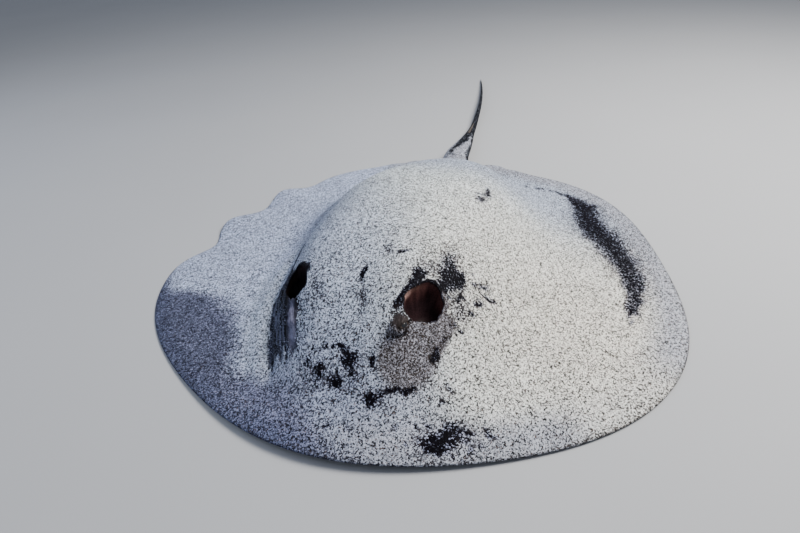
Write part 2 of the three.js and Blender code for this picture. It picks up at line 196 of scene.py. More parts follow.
def bump(offset, width, power=2):
    """1 where the offset is 0, falling away to either side. A higher power gives a flatter top."""
    return np.exp(-((offset / width) ** power))


def blend_max(a, b, soft):
    """The larger of two values, with a rounded change from one to the other."""
    return np.maximum(a, b) + soft * 0.25 * np.maximum(1 - np.abs(a - b) / soft, 0) ** 2


def turned(x, y, angle):
    """The point x, y turned round the origin."""
    return x * math.cos(angle) - y * math.sin(angle), x * math.sin(angle) + y * math.cos(angle)


def flat(x, y):
    """Points at height 0, for noise that depends on the plan only."""
    return np.stack([x, y, 0 * x], 1)


def lattice_value(cell, seed):
    """A repeatable random number from 0 to 1 for each whole-numbered cell."""
    mixed = np.zeros(cell.shape[:-1], np.uint64)
    for axis, prime in enumerate((73856093, 19349663, 83492791)):
        mixed ^= (cell[..., axis].astype(np.int64).astype(np.uint64)) * np.uint64(prime)
    mixed ^= np.uint64(seed * 2654435761)
    mixed = (mixed ^ (mixed >> np.uint64(13))) * np.uint64(1274126177)
    mixed = mixed ^ (mixed >> np.uint64(16))
    return (mixed & np.uint64(0xFFFFFF)).astype(float) / 0xFFFFFF


def noise(points, size, seed):
    """Smooth noise from -1 to 1 with blobs of about the given size."""
    scaled = np.asarray(points) / size
    base = np.floor(scaled)
    part = scaled - base
    part = part * part * (3 - 2 * part)
    total = np.zeros(len(scaled))
    for corner in np.ndindex(2, 2, 2):
        corner = np.array(corner)
        weight = np.prod(np.where(corner == 1, part, 1 - part), axis=1)
        total += weight * lattice_value((base + corner).astype(np.int64), seed)
    return total * 2 - 1


def rough_noise(points, size, seed):
    """Noise with finer and weaker noise on top of it."""
    return sum(noise(points, size / 2**k, seed + k) / 2**k for k in range(3)) / 1.6


# ---- the body's surface

def ripple_at(angle, column):
    """The ripples' swing (column 2) or lift (column 3) at an angle round the disc."""
    found = 0 * np.asarray(angle, float)
    for ripple in RIPPLES:
        found = found + ripple[column] * bump(angle - math.radians(ripple[0]), math.radians(ripple[1]))
    return found


def outline_share(angle):
    return sum(share * np.cos(k * angle) for k, share in enumerate(OUTLINE)) + ripple_at(angle, 2)


sweep = np.linspace(-math.pi, math.pi, 7201)
left_reach = np.max(outline_share(sweep) * np.sin(sweep))
right_reach = np.max(outline_share(sweep) * -np.sin(sweep))
HALF_DISC = (CAD_BOX[1][0] - CAD_BOX[0][0]) / (left_reach + right_reach)


def margin_radius(angle):
    return HALF_DISC * outline_share(angle)


def plan_point(angle, reach):
    """Place in the plan at an angle from the snout and a distance from the middle of the disc."""
    return reach * np.sin(angle), -reach * np.cos(angle)


longest_front = np.max(margin_radius(sweep) * np.cos(sweep))
ORIGIN = Vector((CAD_BOX[0][0] + HALF_DISC * right_reach, CAD_BOX[0][1] + longest_front, 0))


def tail_x(y):
    y = np.asarray(y, float)
    t = np.maximum(y - TAIL["margin"], 0)
    root = TAIL["root_x"] * TAIL["root_swing"] * ramp(y, 0.250, TAIL["margin"] + 0.060)
    behind = np.minimum(root, TAIL["root_x"]) + TAIL["slope"] * t + TAIL["bend"] * t * t
    return np.where(y < TAIL["margin"], root, behind)


TAIL_ANGLE = math.atan2(float(tail_x(TAIL["margin"])), -TAIL["margin"])


def from_tail(angle):
    """Angle away from the tail's root, round the middle of the disc."""
    off = np.asarray(angle) - TAIL_ANGLE
    return np.arctan2(np.sin(off), np.cos(off))


def margin_lift(angle):
    """Height of the margin's underside over the floor, at the snout, the ripples and the pelvic fins."""
    snout_off = angle - math.radians(SNOUT_LIFT["angle"])
    lift = SNOUT_LIFT["height"] * bump(snout_off, math.radians(SNOUT_LIFT["half_width"]))
    reach = math.radians(PELVIC["angle"] + PELVIC["half_angle"])
    rear = 1 - ramp(np.abs(from_tail(angle)), reach, reach + math.radians(8))
    return lift + (PELVIC["thickness"] + PELVIC["gap"]) * rear + ripple_at(angle, 3)


def polar(x, y):
    """Angle from the snout, and the share of the way from the middle to the margin."""
    angle = np.arctan2(x, -y)
    return angle, np.hypot(x, y) / margin_radius(angle)


def underside_height(share, angle):
    return margin_lift(angle) * ramp(share, *LIFT_SHARES)


def mound(x, y):
    aside = x - tail_x(y)
    left = aside > 0
    half = np.where(left, curve(MOUND, 4, y), curve(MOUND, 2, y))
    steep = np.where(left, curve(MOUND, 5, y), curve(MOUND, 3, y))
    return curve(MOUND, 1, y) * np.exp(-math.log(2) * (np.abs(aside) / half) ** steep)


def boss(x, y):
    """The swelling that carries an eye and a spiracle."""
    aside = bump(np.abs(x) - BOSS["x"], BOSS["half_width"])
    return BOSS["height"] * aside * bump(y - BOSS["y"], BOSS["half_length"])


def trough(x, y):
    """The shallow valley between the eyes."""
    return TROUGH["depth"] * bump(x, TROUGH["half_width"]) * window(y, TROUGH["front"], TROUGH["rear"])


def crease_offset(x, y):
    """Distance outwards from the crease at the foot of the right flank, in crease widths."""
    return (-x - curve(CREASE_LINE, 1, y)) / CREASE["width"]


def crease(x, y):
    off = crease_offset(x, y)
    groove = CREASE["depth"] * bump(off, 1)
    welt = WELT["height"] * bump(off - WELT["offset"], WELT["width"])
    return np.where(x < 0, (groove - welt) * window(y, CREASE["front"], CREASE["rear"]), 0)


def tail_half(y):
    return curve(TAIL_SECTIONS, 1, y) - INSET


def tail_height(y):
    return curve(TAIL_SECTIONS, 2, y) - INSET


def fold_depth(y):
    return np.maximum(curve(TAIL_SECTIONS, 3, y), 0)


def tail_arch(x, y):
    """Height of the tail's rounded root where it comes out of the body."""
    across = np.clip(1 - ((x - tail_x(y)) / tail_half(y)) ** 2, 0, 1)
    return tail_height(y) * np.sqrt(across) * ramp(y, *ARCH["rise"])


def back_height(x, y):
    """Height of the back over the floor."""
    angle, share = polar(x, y)
    inside = np.maximum(1 - share**2, 0)
    sheet = RIM + FIN_RISE * inside**FIN_POWER
    body = mound(x, y) * (1 - np.exp(-MOUND_FADE * inside))
    height = underside_height(share, angle) + sheet + body + boss(x, y) - trough(x, y) - crease(x, y)
    with_tail = blend_max(height, tail_arch(x, y), ARCH["blend"])
    return np.where(y > ARCH["from_y"], with_tail, height) - INSET


# ---- plan grids

def steps(start, stop, size):
    """Even steps of about a size from start on. The stop itself isn't among them."""
    count = max(int(round((stop - start) / size)), 1)
    return start + (stop - start) * np.arange(count) / count


def ring_turns():
    """Angles round the tail, over the top from the animal's left and back below."""
    return 2 * np.pi * (np.arange(TAIL_RING) + 1) / TAIL_RING


def column_angles():
    """Angles of the grid's columns, close together at the head and where the tail leaves."""
    reach = float(margin_radius(TAIL_ANGLE))
    half = math.asin(float(tail_half(TAIL["margin"])) / reach)
    tail = TAIL_ANGLE - np.arcsin(math.sin(half) * np.cos(ring_turns()[:TAIL_COLUMNS]))
    front = [math.radians(angle) for angle in FINE_ANGLES]
    coarse = math.radians(COARSE_COLUMN)
    right = steps(TAIL_ANGLE + half, front[0], coarse)
    head = steps(*front, math.radians(FINE_COLUMN))
    left = steps(front[1], TAIL_ANGLE + 2 * math.pi - half, coarse)
    return np.concatenate([tail, right[1:], head, left])


ANGLES = column_angles()


def band_faces(near, far):
    """Faces between two closed rings of points."""
    return [list(face) for face in zip(near, far, [*far[1:], far[0]], [*near[1:], near[0]])]


def tube_faces(count, rings, first=0):
    """Faces between rings of points whose numbers follow each other."""
    numbers = [[first + ring * count + i for i in range(count)] for ring in range(rings)]
    return [face for near, far in zip(numbers, numbers[1:]) for face in band_faces(near, far)]


def disc_faces(count, rings):
    """Faces between a middle point, which is number 0, and the rings of points round it."""
    fan = [[0, 1 + i, 1 + (i + 1) % count] for i in range(count)]
    return fan + tube_faces(count, rings, 1)


def plan_grid(shares):
    """A bmesh of the disc's plan: a middle point and a ring of columns at each share of the radius."""
    x, y = plan_point(ANGLES, np.outer(shares, margin_radius(ANGLES)))
    bm = bmesh.new()
    verts = [bm.verts.new((0, 0, 0))]
    verts += [bm.verts.new((*place, 0)) for place in zip(x.ravel(), y.ravel())]
    for face in disc_faces(len(ANGLES), len(shares)):
        bm.faces.new([verts[i] for i in face])
    return bm


def refine(bm, wanted):
    """Halves the edges of the faces whose middles the test wants."""
    faces = [f for f in bm.faces if len(f.verts) == 4]
    middles = np.array([f.calc_center_median()[:2] for f in faces])
    chosen = wanted(middles[:, 0], middles[:, 1])
    edges = {e for f, take in zip(faces, chosen) if take for e in f.edges}
    bmesh.ops.subdivide_edges(bm, edges=list(edges), cuts=1, use_grid_fill=True)


def plan_arrays(bm):
    bm.verts.index_update()
    x, y = np.array([v.co[:2] for v in bm.verts]).T
    faces = [[v.index for v in f.verts] for f in bm.faces]
    bm.free()
    return x, y, faces


# ---- spiracles and eyes

def spiracle_oval(x, y, side):
    """Share of the way from a spiracle's middle to its rim, and the offset on its own axes."""
    hole = SPIRACLE[side]
    dx = x - side * hole["x"]
    dy = y - hole["y"]
    across, along = turned(dx, dy, -math.radians(side * hole["turn"]))
    power = hole["corners"]
    share = np.abs(across / hole["half_width"]) ** power + np.abs(along / hole["half_length"]) ** power
    around = np.arctan2(along, across * side)
    uneven = np.sin(5 * around + 1) + 0.6 * np.sin(11 * around + 2)
    share = share ** (1 / power) * (1 + hole["torn"] * uneven)
    cut = np.maximum(-0.86 * side * dx + 0.51 * dy, 0) / hole["flat"]
    return (share**12 + cut**12) ** (1 / 12), across, along


def open_spiracle(points, side):
    """Draws the back inside the oval down into an egg-shaped throat with folds in its wall.

    Points close to the rim are moved onto it, so that the rim is a clean line.
    """
    hole = SPIRACLE[side]
    reach, across, along = spiracle_oval(points[:, 0], points[:, 1], side)
    share = np.where(np.abs(reach - 1) < RIM_CATCH, 1.0, reach)
    swing = share * math.pi / 2
    around = np.arctan2(along / hole["half_length"], across * side / hole["half_width"])
    folds = 0.07 * np.sin(5 * around + 5 * swing) + 0.04 * np.sin(13 * around - 3 * swing)
    undercut = 0.12
    spread = np.sin(swing) / np.maximum(reach, 1e-6) * (1 + (folds + undercut) * np.sin(2 * swing))
    dx, dy = turned(across, along, math.radians(side * hole["turn"]))
    x = side * hole["x"] + spread * dx
    y = hole["y"] + spread * dy
    lean = np.array([-side * 0.24, -0.10, -0.97])
    down = lean * (hole["depth"] * np.cos(swing))[:, None]
    throat = np.stack([x, y, back_height(x, y) + back_relief(x, y)], 1) + down
    points[share <= 1] = throat[share <= 1]
    lip_height = 0.0014
    points[:, 2] += np.where(share < 1, 0, lip_height * bump(share - 1.12, 0.09))
    return share


def eye_centre(side):
    surface = float(back_height(np.array([side * EYE["x"]]), np.array([EYE["y"]]))[0]) + INSET
    return np.array([side * EYE["x"], EYE["y"], surface - EYE["sunk"]])


def eye_axes(side):
    """Directions of an eye: where it looks, along the slit between its lids, and across it."""
    look = np.array([side * 0.74, -0.30, 0.60])
    look /= np.linalg.norm(look)
    along = np.cross(look, [0, 0, 1])
    along /= np.linalg.norm(along)
    over = np.cross(along, look) * np.sign(np.cross(along, look)[2])
    return look, along, over


def lid_places(points, side):
    """Stretched distance from an eye's centre, share of the way to the lids' edge, side of the slit."""
    look, along, over = eye_axes(side)
    away = points - eye_centre(side)
    a = away @ along / LIDS["stretch"]
    b = away @ over
    c = away @ look
    distance = np.maximum(np.sqrt(a * a + b * b + c * c), 1e-6)
    share = np.hypot(a / distance / LIDS["half_length"], b / distance / LIDS["half_height"])
    return distance, np.where(c > 0, share, 9), b / distance


def wrap_lids(points, side):
    """Lays the skin over the eyeball and leaves an almond-shaped opening between the lids."""
    distance, share, _ = lid_places(points, side)
    gap = 1 - ramp(share, 0.84, 1.0)
    folds = LIDS["ridge"] * bump(share - 1.12, 0.14) - LIDS["furrow"] * bump(share - 1.55, 0.13)
    soft = 0.005 if side > 0 else 0.010
    cap = blend_max(distance, EYE["radius"] + LIDS["thick"] + folds, soft)
    target = cap * (1 - gap) + (EYE["radius"] - LIDS["gap_depth"]) * gap
    centre = eye_centre(side)
    away = points - centre
    near = (distance < EYE["radius"] + LIDS["reach"]) & (away[:, 2] > -0.3 * distance)
    moved = centre + away * (target / distance)[:, None]
    points[near] = moved[near]


# ---- where the sand lies

# Places where the sand has slid off: middle and half sizes in millimetres, turn, how bare
BARE_SPOTS = [
    # on the snout, towards the left
    (177, -378, 35, 15, 35, 0.92),
    (165, -393, 12, 5, 15, 0.90),
    (220, -370, 11, 4, 20, 0.40),
    (160, -335, 6, 4, 30, 0.80),
    (165, -315, 8, 3, 30, 0.60),
    (110, -390, 6, 4, 20, 0.50),
    (55, -405, 8, 5, 5, 0.50),
    (25, -410, 6, 4, 25, 0.60),
    # in front of the left eye
    (75, -367, 15, 8, 15, 0.95),
    (100, -350, 16, 5, 20, 0.80),
    (120, -340, 9, 4, 45, 0.90),
    (30, -333, 15, 10, -10, 0.85),
    (15, -320, 9, 4, -40, 0.70),
    (45, -350, 12, 9, 0, 0.38),
    (60, -330, 6, 4, -65, 1.15),
    (18, -363, 9, 7, 0, 0.75),
    (40, -365, 9, 8, 0, 0.35),
    (-10, -355, 6, 5, 60, 0.85),
    (-30, -345, 7, 3, -80, 0.80),
    (-15, -360, 28, 20, -5, 0.34),
    # beside the left cheek
    (138, -289, 9, 4, -75, 1.25),
    (140, -265, 11, 4, 75, 0.60),
    (155, -237, 6, 3, 50, 0.80),
    # round the left spiracle
    (82, -235, 26, 5, 75, 1.15),
    (74, -264, 4, 4, 0, 1.20),
    (85, -258, 12, 6, 70, 0.65),
    (88, -203, 12, 7, -65, 1.05),
    (90, -180, 20, 14, 60, 0.42),
    (122, -163, 27, 16, -80, 0.66),
    (130, -173, 18, 12, 75, 0.58),
    (140, -162, 9, 4, 85, 1.15),
    (147, -210, 30, 15, 75, 0.48),
    (119, -198, 10, 7, -80, 0.75),
    (156, -151, 5, 4, 60, 0.80),
    (167, -141, 9, 3, 80, 0.85),
    (183, -153, 6, 3, 20, 0.85),
    (168, -173, 7, 4, 60, 0.90),
    (115, -125, 35, 16, 50, 0.28),
    # on the mound
    (26, -165, 14, 9, -60, 0.45),
    (50, -165, 8, 4, 0, 1.00),
    (5, -215, 13, 4, -80, 0.80),
    (17, -252, 28, 6, -70, 0.42),
    (-53, -250, 21, 8, -70, 0.40),
    (114, 45, 13, 3, -70, 1.20),
    (119, 60, 14, 4, -70, 1.20),
    (121, 83, 18, 3, -75, 1.20),
    # on the left fin
    (305, 300, 12, 8, 70, 0.50),
    (375, -188, 8, 5, 40, 0.40),
]

# Places with many small bare flecks: middle and half sizes in millimetres, turn
FLECKED = [
    (155, -165, 42, 24, 75),
    (165, -385, 45, 22, 8),
    (0, -345, 38, 24, 0),
    (150, -240, 18, 6, 75),
    (208, -363, 30, 13, 28),
]

# The long streak on the rear of the left fin: angle from the snout, share of the radius, half width
FIN_BAND = np.array([
    [79, 0.824, 0.004],
    [83, 0.824, 0.022],
    [88, 0.838, 0.039],
    [94, 0.838, 0.056],
    [101, 0.837, 0.073],
    [110, 0.822, 0.082],
    [117, 0.804, 0.087],
    [125, 0.789, 0.079],
    [133, 0.826, 0.068],
    [139, 0.847, 0.048],
    [143, 0.855, 0.024],
    [147, 0.840, 0.009],
    [157, 0.806, 0.005],
    [160, 0.800, 0.001],
])

# Inner border of the thinly dusted front of the right fin: angle from the snout, share of the radius
DARK_FIN = np.array([
    [-110, 1.12],
    [-80, 1.04],
    [-66, 0.96],
    [-61, 0.87],
    [-55, 0.77],
    [-47, 0.73],
    [-38, 0.77],
    [-31, 0.82],
    [-24, 0.86],
    [-8, 0.85],
    [-2, 0.88],
    [3, 0.93],
    [8, 1.00],
])

# The bare right flank: place along the body, and its lower and upper border in crease widths
FLANK = np.array([
    [-0.375, -0.9, -1.3],
    [-0.355, -0.3, -3.2],
    [-0.340, 0.2, -4.1],
    [-0.322, 0.3, -5.3],
    [-0.300, 0.3, -6.6],
    [-0.269, 0.3, -6.7],
    [-0.236, 0.3, -8.6],
    [-0.208, -0.2, -9.0],
    [-0.192, -1.7, -4.5],
    [-0.178, -2.5, -3.9],
    [-0.154, -3.0, -4.0],
    [-0.125, -2.7, -3.7],
    [-0.080, -1.6, -2.6],
])


def oval(x, y, middle_x, middle_y, half_x, half_y, turn=0):
    """1 at the middle of an oval, 0.5 at its edge, falling away outside. Its sizes are in millimetres."""
    dx, dy = turned(x - middle_x / 1000, y - middle_y / 1000, -math.radians(turn))
    share = (dx / half_x * 1000) ** 2 + (dy / half_y * 1000) ** 2
    return np.exp(-math.log(2) * share**1.25)


def fin_band(x, y):
    """The long bare streak on the rear of the left fin."""
    angle, share = polar(x, y)
    degrees = np.degrees(angle)
    half = np.maximum(curve(FIN_BAND, 2, degrees), 0.001)
    ragged = 0.016 * rough_noise(flat(x, y), 0.012, 39)
    within = bump(np.abs(share + ragged - curve(FIN_BAND, 1, degrees)), half, 2.2)
    return np.where((degrees > 78) & (degrees < 160), within, 0)


def dark_fin(x, y):
    """The thinly dusted front of the right fin."""
    angle, share = polar(x, y)
    border = curve(DARK_FIN, 1, np.degrees(angle))
    wander = 0.035 * rough_noise(flat(x, y), 0.06, 13)
    return ramp(share + wander, border - 0.05, border + 0.05) * (angle < 0.2)


def cheek(x, y):
    """The thinly dusted skin in front of the left eye."""
    wander = 0.006 * rough_noise(flat(x, y), 0.02, 15)
    found = oval(x + wander, y, 105, -306, 42, 34, 47) + oval(x, y + wander, 132, -260, 34, 13, 68)
    ring, across, _ = spiracle_oval(x, y, 1)
    found = np.maximum(found, (1 - ramp(ring, 1.15, 1.40)) * ramp(across, 0.0, 0.012))
    return ramp(found, 0.30, 0.62)


def flank(x, y):
    """The steep bare skin above the crease on the right, below the eye and the spiracle."""
    off = crease_offset(x, y)
    fingers = noise(np.stack([off * 1.9, 0 * y, 0 * x], 1), 1.0, 19)
    reach = y + 0.016 * fingers * (1 - ramp(y, -0.33, -0.28))
    low = curve(FLANK, 1, reach)
    high = curve(FLANK, 2, reach)
    across = window(off, (high - 0.6, high + 0.4), (low - 0.4, low + 0.4))
    return np.where(x < 0, across * window(reach, (-0.344, -0.318), (-0.090, -0.066)), 0)


def lens_strip(x, y):
    """The smooth pale band along the right eye."""
    return oval(x, y, -85, -292, 5.6, 29, 27)


def spiracle_rim(x, y):
    """The dark bare edge round a spiracle, wider on the side towards the middle of the back."""
    found = np.zeros(len(x))
    for side in (-1, 1):
        share, _, _ = spiracle_oval(x, y, side)
        dx = x - side * SPIRACLE[side]["x"]
        dy = y - SPIRACLE[side]["y"]
        facing = (-side * 0.72 * dx + 0.69 * dy) / np.maximum(np.hypot(dx, dy), 1e-6)
        below = ramp(0.25 * dx - 0.97 * dy, 0.026, 0.031) * (x > 0)
        width = 0.03 + 0.03 * (x > 0) + 0.08 * ramp(facing, -0.2, 0.8) - 0.05 * below
        found = np.maximum(found, 1 - ramp(share, 1 + 0.5 * width, 1 + 1.5 * width))
    return found


def flecks(x, y):
    """Small bare flecks scattered round the larger bare patches."""
    where = np.max([oval(x, y, *place) for place in FLECKED], axis=0)
    return 0.9 * ramp(noise(flat(x, y), 0.0060, 37), 0.52, 0.68) * ramp(where, 0.2, 0.6)


def near_eye(x, y, reach):
    return sum(bump(np.hypot(x - side * EYE["x"], y - EYE["y"]), reach, 4) for side in (-1, 1))


# swing and size of the waves in the edges of the bare patches, and their seeds across and along
RAGGED_EDGES = ((0.004, 0.020, 3, 5), (0.003, 0.008, 7, 9), (0.0025, 0.004, 8, 10))


def bald(x, y):
    """How bare the markings leave the skin, from 0 to a little over 1."""
    points = flat(x, y)
    ragged_x = x
    ragged_y = y
    for swing, size, seed_x, seed_y in RAGGED_EDGES:
        ragged_x = ragged_x + swing * noise(points, size, seed_x)
        ragged_y = ragged_y + swing * noise(points, size, seed_y)
    found = 0.87 * fin_band(ragged_x, ragged_y) + 1.1 * spiracle_rim(x, y) + flecks(x, y)
    found += 0.86 * flank(0.6 * x + 0.4 * ragged_x, 0.6 * y + 0.4 * ragged_y)
    for *place, bare in BARE_SPOTS:
        found += bare * oval(ragged_x, ragged_y, *place)
    return found


def coolness(x, y):
    """1 on the animal's right and on its snout, where the light is blue, and 0 on its left."""
    drift = 0.03 * noise(flat(x, y), 0.12, 51)
    return 1 - ramp(x + 0.55 * y + drift, -0.20, 0.04)


def snout(x, y):
    angle, share = polar(x, y)
    return window(angle, (-0.6, -0.2), (0.3, 0.6)) * ramp(share, 0.60, 0.85)


def warmth(x, y):
    """1 on the middle of the left fin, where the sand is creamiest; the cream and the warmer skin there are
    partly painted warm light.
    """
    return bump(np.hypot(x - 0.33, y + 0.13), 0.30)


def stripe(x, y):
    """The well covered strip of the right fin beside the crease."""
    return bump(crease_offset(x, y) - 3.2, 2.8, 4) * window(y, (-0.40, -0.35), (-0.18, -0.08)) * (x < 0)


def sand_cover(x, y):
    """How thickly the sand lies on the back, from 0, bare, to 1."""
    angle, share = polar(x, y)
    cover = 0.88 + 0.08 * warmth(x, y) + 0.06 * snout(x, y) + 0.12 * stripe(x, y)
    cover -= 0.10 * coolness(x, y) + 0.08 * oval(x, y, 0, -270, 120, 100)
    cover -= 0.09 * ramp(y, 0.0, 0.25) * (x > -0.1)
    thin = 0.72 - 0.34 * ramp(angle, -0.55, -0.15) + 0.20 * rough_noise(flat(x, y), 0.07, 11)
    cover -= thin * dark_fin(x, y) + 0.60 * cheek(x, y)
    valley = bump(crease_offset(x, y) - 0.2, 2.0) * window(y, (-0.10, 0.0), (0.22, 0.33)) * (x < 0)
    cover -= 0.12 * valley - 0.03 * ramp(share, 0.84, 0.92)
    cover -= bald(x, y) + 0.8 * near_eye(x, y, 0.011) + 0.45 * ramp(share, 0.988, 0.999)
    return np.clip(cover, -0.05 - 0.4 * near_eye(x, y, 0.013), 1)


# ---- fine relief

def back_relief(x, y):
    """Small folds and swellings of the back, on top of its height."""
    points = flat(x, y)
    angle, share = polar(x, y)
    wave = crease_offset(x, y) * 5.2 + 2.4 * noise(points * [1, 0.3, 1], 0.020, 21)
    folds = RELIEF["folds"] * np.sin(wave) * flank(x, y)
    swell = RELIEF["swell"] * rough_noise(points, 0.060, 23) * ramp(share, 0, 0.1)
    rays = RELIEF["rays"] * noise(flat(angle * 14, share * 1.5), 1.0, 25)
    rays *= window(share, (0.45, 0.65), (0.93, 0.985))
    drift = RELIEF["drift"] * ramp(sand_cover(x, y), 0.35, 0.85)
    groove = RELIEF["groove"] * bump(share - 0.925, 0.008) * window(angle, (0.4, 0.9), (2.2, 2.6))
    return (folds + swell + rays + drift) * (1 - ramp(share, 0.95, 0.99)) - groove - RELIEF["sunk"]


def underside_relief(x, y):
    """Depth of the mouth, nostrils, gill slits and vent in the flat underside."""
    aside = np.abs(x)
    behind = y - MOUTH["y"]
    level = behind - MOUTH["bend"] * x**2
    span = 1 - ramp(aside, 0.8 * MOUTH["half_width"], MOUTH["half_width"])
    lips = bump(np.abs(level) - 0.0056, 0.0030)
    depth = (MOUTH["gap"] * bump(level, 0.0022) - MOUTH["lips"] * lips) * span
    depth += MOUTH["bowl"] * bump(behind, 0.024) * bump(x, 0.052)
    curtain = bump(level + 0.0105 + 0.0010 * np.sin(x * 1400), 0.0013)
    depth += MOUTH["curtain"] * curtain * (1 - ramp(aside, 0.026, 0.032))
    dx = aside - NOSTRIL["x"]
    dy = behind + NOSTRIL["ahead"] - 6.0 * dx**2
    depth += NOSTRIL["depth"] * bump(dx, 0.0075) * bump(dy, 0.0034)
    for k in range(GILLS["count"]):
        dx = aside - GILLS["first_x"] + GILLS["inward"] * k
        dy = y - GILLS["first_y"] - GILLS["step"] * k - 0.25 * dx
        dy -= 0.0022 * np.sin(2.4 * dx / GILLS["half_length"])
        slit = bump(dy, 0.0016) + 0.3 * bump(dy + 0.005, 0.0045)
        depth += GILL_DEPTH * slit * bump(dx, GILLS["half_length"], 4)
    dx = x - tail_x(y)
    dy = y - VENT["y"]
    depth += VENT["depth"] * bump(dx, 0.0026) * bump(dy, VENT["half_length"], 4)
    depth += VENT["dent"] * bump(dx, 0.012) * bump(0.6 * dy, VENT["half_length"])
    return np.maximum(depth, 0)


def near_relief(x, y):
    """Where the underside needs the finer grid."""
    mouth = (np.abs(x) < 0.055) & (np.abs(y - MOUTH["y"] + 0.008) < 0.030)
    gill_x = GILLS["first_x"] - GILLS["inward"] * (y - GILLS["first_y"]) / GILLS["step"]
    gills = (np.abs(np.abs(x) - gill_x) < 0.019) & (np.abs(y - GILLS["first_y"] - 2 * GILLS["step"]) < 0.094)
    vent = (np.abs(x - tail_x(y)) < 0.014) & (np.abs(y - VENT["y"]) < 0.024)
    return mouth | gills | vent


# ---- the skin's parts

BACK, BELLY, MARGIN, TAIL_SKIN, PELVIC_SKIN = range(5)
NO_THROAT = 9.0  # the throat's share for points that lie in no spiracle


class Skin:
    """The skin's points and faces, with what the markings need to know about each point."""

    def __init__(self):
        self.points = []
        self.faces = []
        self.part = []
        self.throat = []

    def add(self, points, faces, part, throat=None):
        """Adds points and the faces between them, and gives the numbers of the points."""
        first = sum(len(p) for p in self.points)
        self.points.append(np.asarray(points, float))
        self.faces += [[i + first for i in face] for face in faces]
        self.part.append(np.full(len(points), part))
        self.throat.append(np.full(len(points), NO_THROAT) if throat is None else throat)
        return list(range(first, first + len(points)))

    def arrays(self):
        return [np.concatenate(a) for a in (self.points, self.part, self.throat)]


def near_openings(x, y, share_reach, eye_reach):
    found = np.zeros(len(x), bool)
    for side in (-1, 1):
        found |= spiracle_oval(x, y, side)[0] < share_reach
        found |= np.hypot(x - side * EYE["x"], y - EYE["y"]) < eye_reach
    return found


def on_flank(x, y):
    off = crease_offset(x, y)
    return (x < 0) & (off > -7.6) & (off < 1.4) & (y > -0.385) & (y < -0.07)


def on_head(x, y):
    return (x > -0.165) & (x < 0.21) & (y > -0.43) & (y < -0.12)


def outer_ring(numbers, rings):
    """Numbers of a grid's outermost points, one for each column. Refining adds points after them."""
    last = 1 + (rings - 1) * len(ANGLES)
    return numbers[last : last + len(ANGLES)]


def add_back(skin):
    inner = steps(0.03, 0.30, 0.024)
    shares = [*inner, *steps(0.30, 0.90, 0.0110), *steps(0.90, RIM_SHARE, 0.0116), RIM_SHARE]
    bm = plan_grid(shares)
    refine(bm, on_head)
    refine(bm, lambda x, y: near_openings(x, y, share_reach=1.35, eye_reach=0.021) | on_flank(x, y))
    refine(bm, lambda x, y: near_openings(x, y, share_reach=0.0, eye_reach=0.016))
    x, y, faces = plan_arrays(bm)
    points = np.stack([x, y, back_height(x, y) + back_relief(x, y)], 1)
    throat = np.full(len(points), NO_THROAT)
    for side in (-1, 1):
        throat = np.minimum(throat, open_spiracle(points, side))
        wrap_lids(points, side)
    return outer_ring(skin.add(points, faces, BACK, throat), len(shares))


def belly_height(x, y):
    """Height of the underside. Below the tail's root it comes back down to the floor."""
    angle, share = polar(x, y)
    root = bump(x - tail_x(y), 1.2 * tail_half(y), 4) * ramp(y, 0.36, 0.41)
    return underside_height(share, angle) * (1 - root) + FLOOR_GAP


def add_belly(skin):
    inner = steps(0.04, 0.12, 0.02)
    shares = [*inner, *steps(0.12, 0.74, 0.0185), *steps(0.74, RIM_SHARE, 0.028), RIM_SHARE]
    bm = plan_grid(shares)
    refine(bm, near_relief)
    refine(bm, near_relief)
    x, y, faces = plan_arrays(bm)
    points = np.stack([x, y, belly_height(x, y) + underside_relief(x, y)], 1)
    numbers = skin.add(points, [face[::-1] for face in faces], BELLY)
    return outer_ring(numbers, len(shares))


def add_margin(skin, top, bottom):
    """The rounded edge of the disc. Gives the points round the opening that it leaves for the tail."""
    x, y = plan_point(ANGLES, margin_radius(ANGLES) - MARGIN_INSET)
    middle = skin.add(np.stack([x, y, margin_lift(ANGLES) + RIM / 2], 1), [], MARGIN)
    last = TAIL_COLUMNS - 1
    for i in range(last, len(ANGLES)):
        j = (i + 1) % len(ANGLES)
        skin.faces.append([top[i], middle[i], middle[j], top[j]])
        skin.faces.append([middle[i], bottom[i], bottom[j], middle[j]])
    return top[: last + 1] + [middle[last]] + bottom[last::-1] + [middle[0]]


def tail_section(y):
    """Points round the tail at a place along it: an oval core, with the fold hanging under it."""
    turns = ring_turns()
    high = tail_height(y)
    fold = fold_depth(y)
    x = tail_half(y) * np.cos(turns)
    z = fold + 0.5 * high + 0.5 * high * np.sin(turns)
    if fold < 0.001:
        z = blend_max(z, fold + 0.03 * high, 0.002)
    below = turns - 1.5 * math.pi
    from_keel = np.abs(np.arctan2(np.sin(below), np.cos(below)))
    keel_reach = math.radians(34)
    keel = 1 - ramp(from_keel, 0.35 * keel_reach, keel_reach)
    hang = ramp(fold, 0.0004, 0.004)
    x = x * (1 - 0.55 * keel * hang)
    z = z * (1 - keel * hang) + FLOOR_GAP * keel * hang
    z = np.where(hang < 0.5, np.maximum(z, FLOOR_GAP), z)
    return np.stack([tail_x(y) + x, np.full(len(x), y), z], 1)


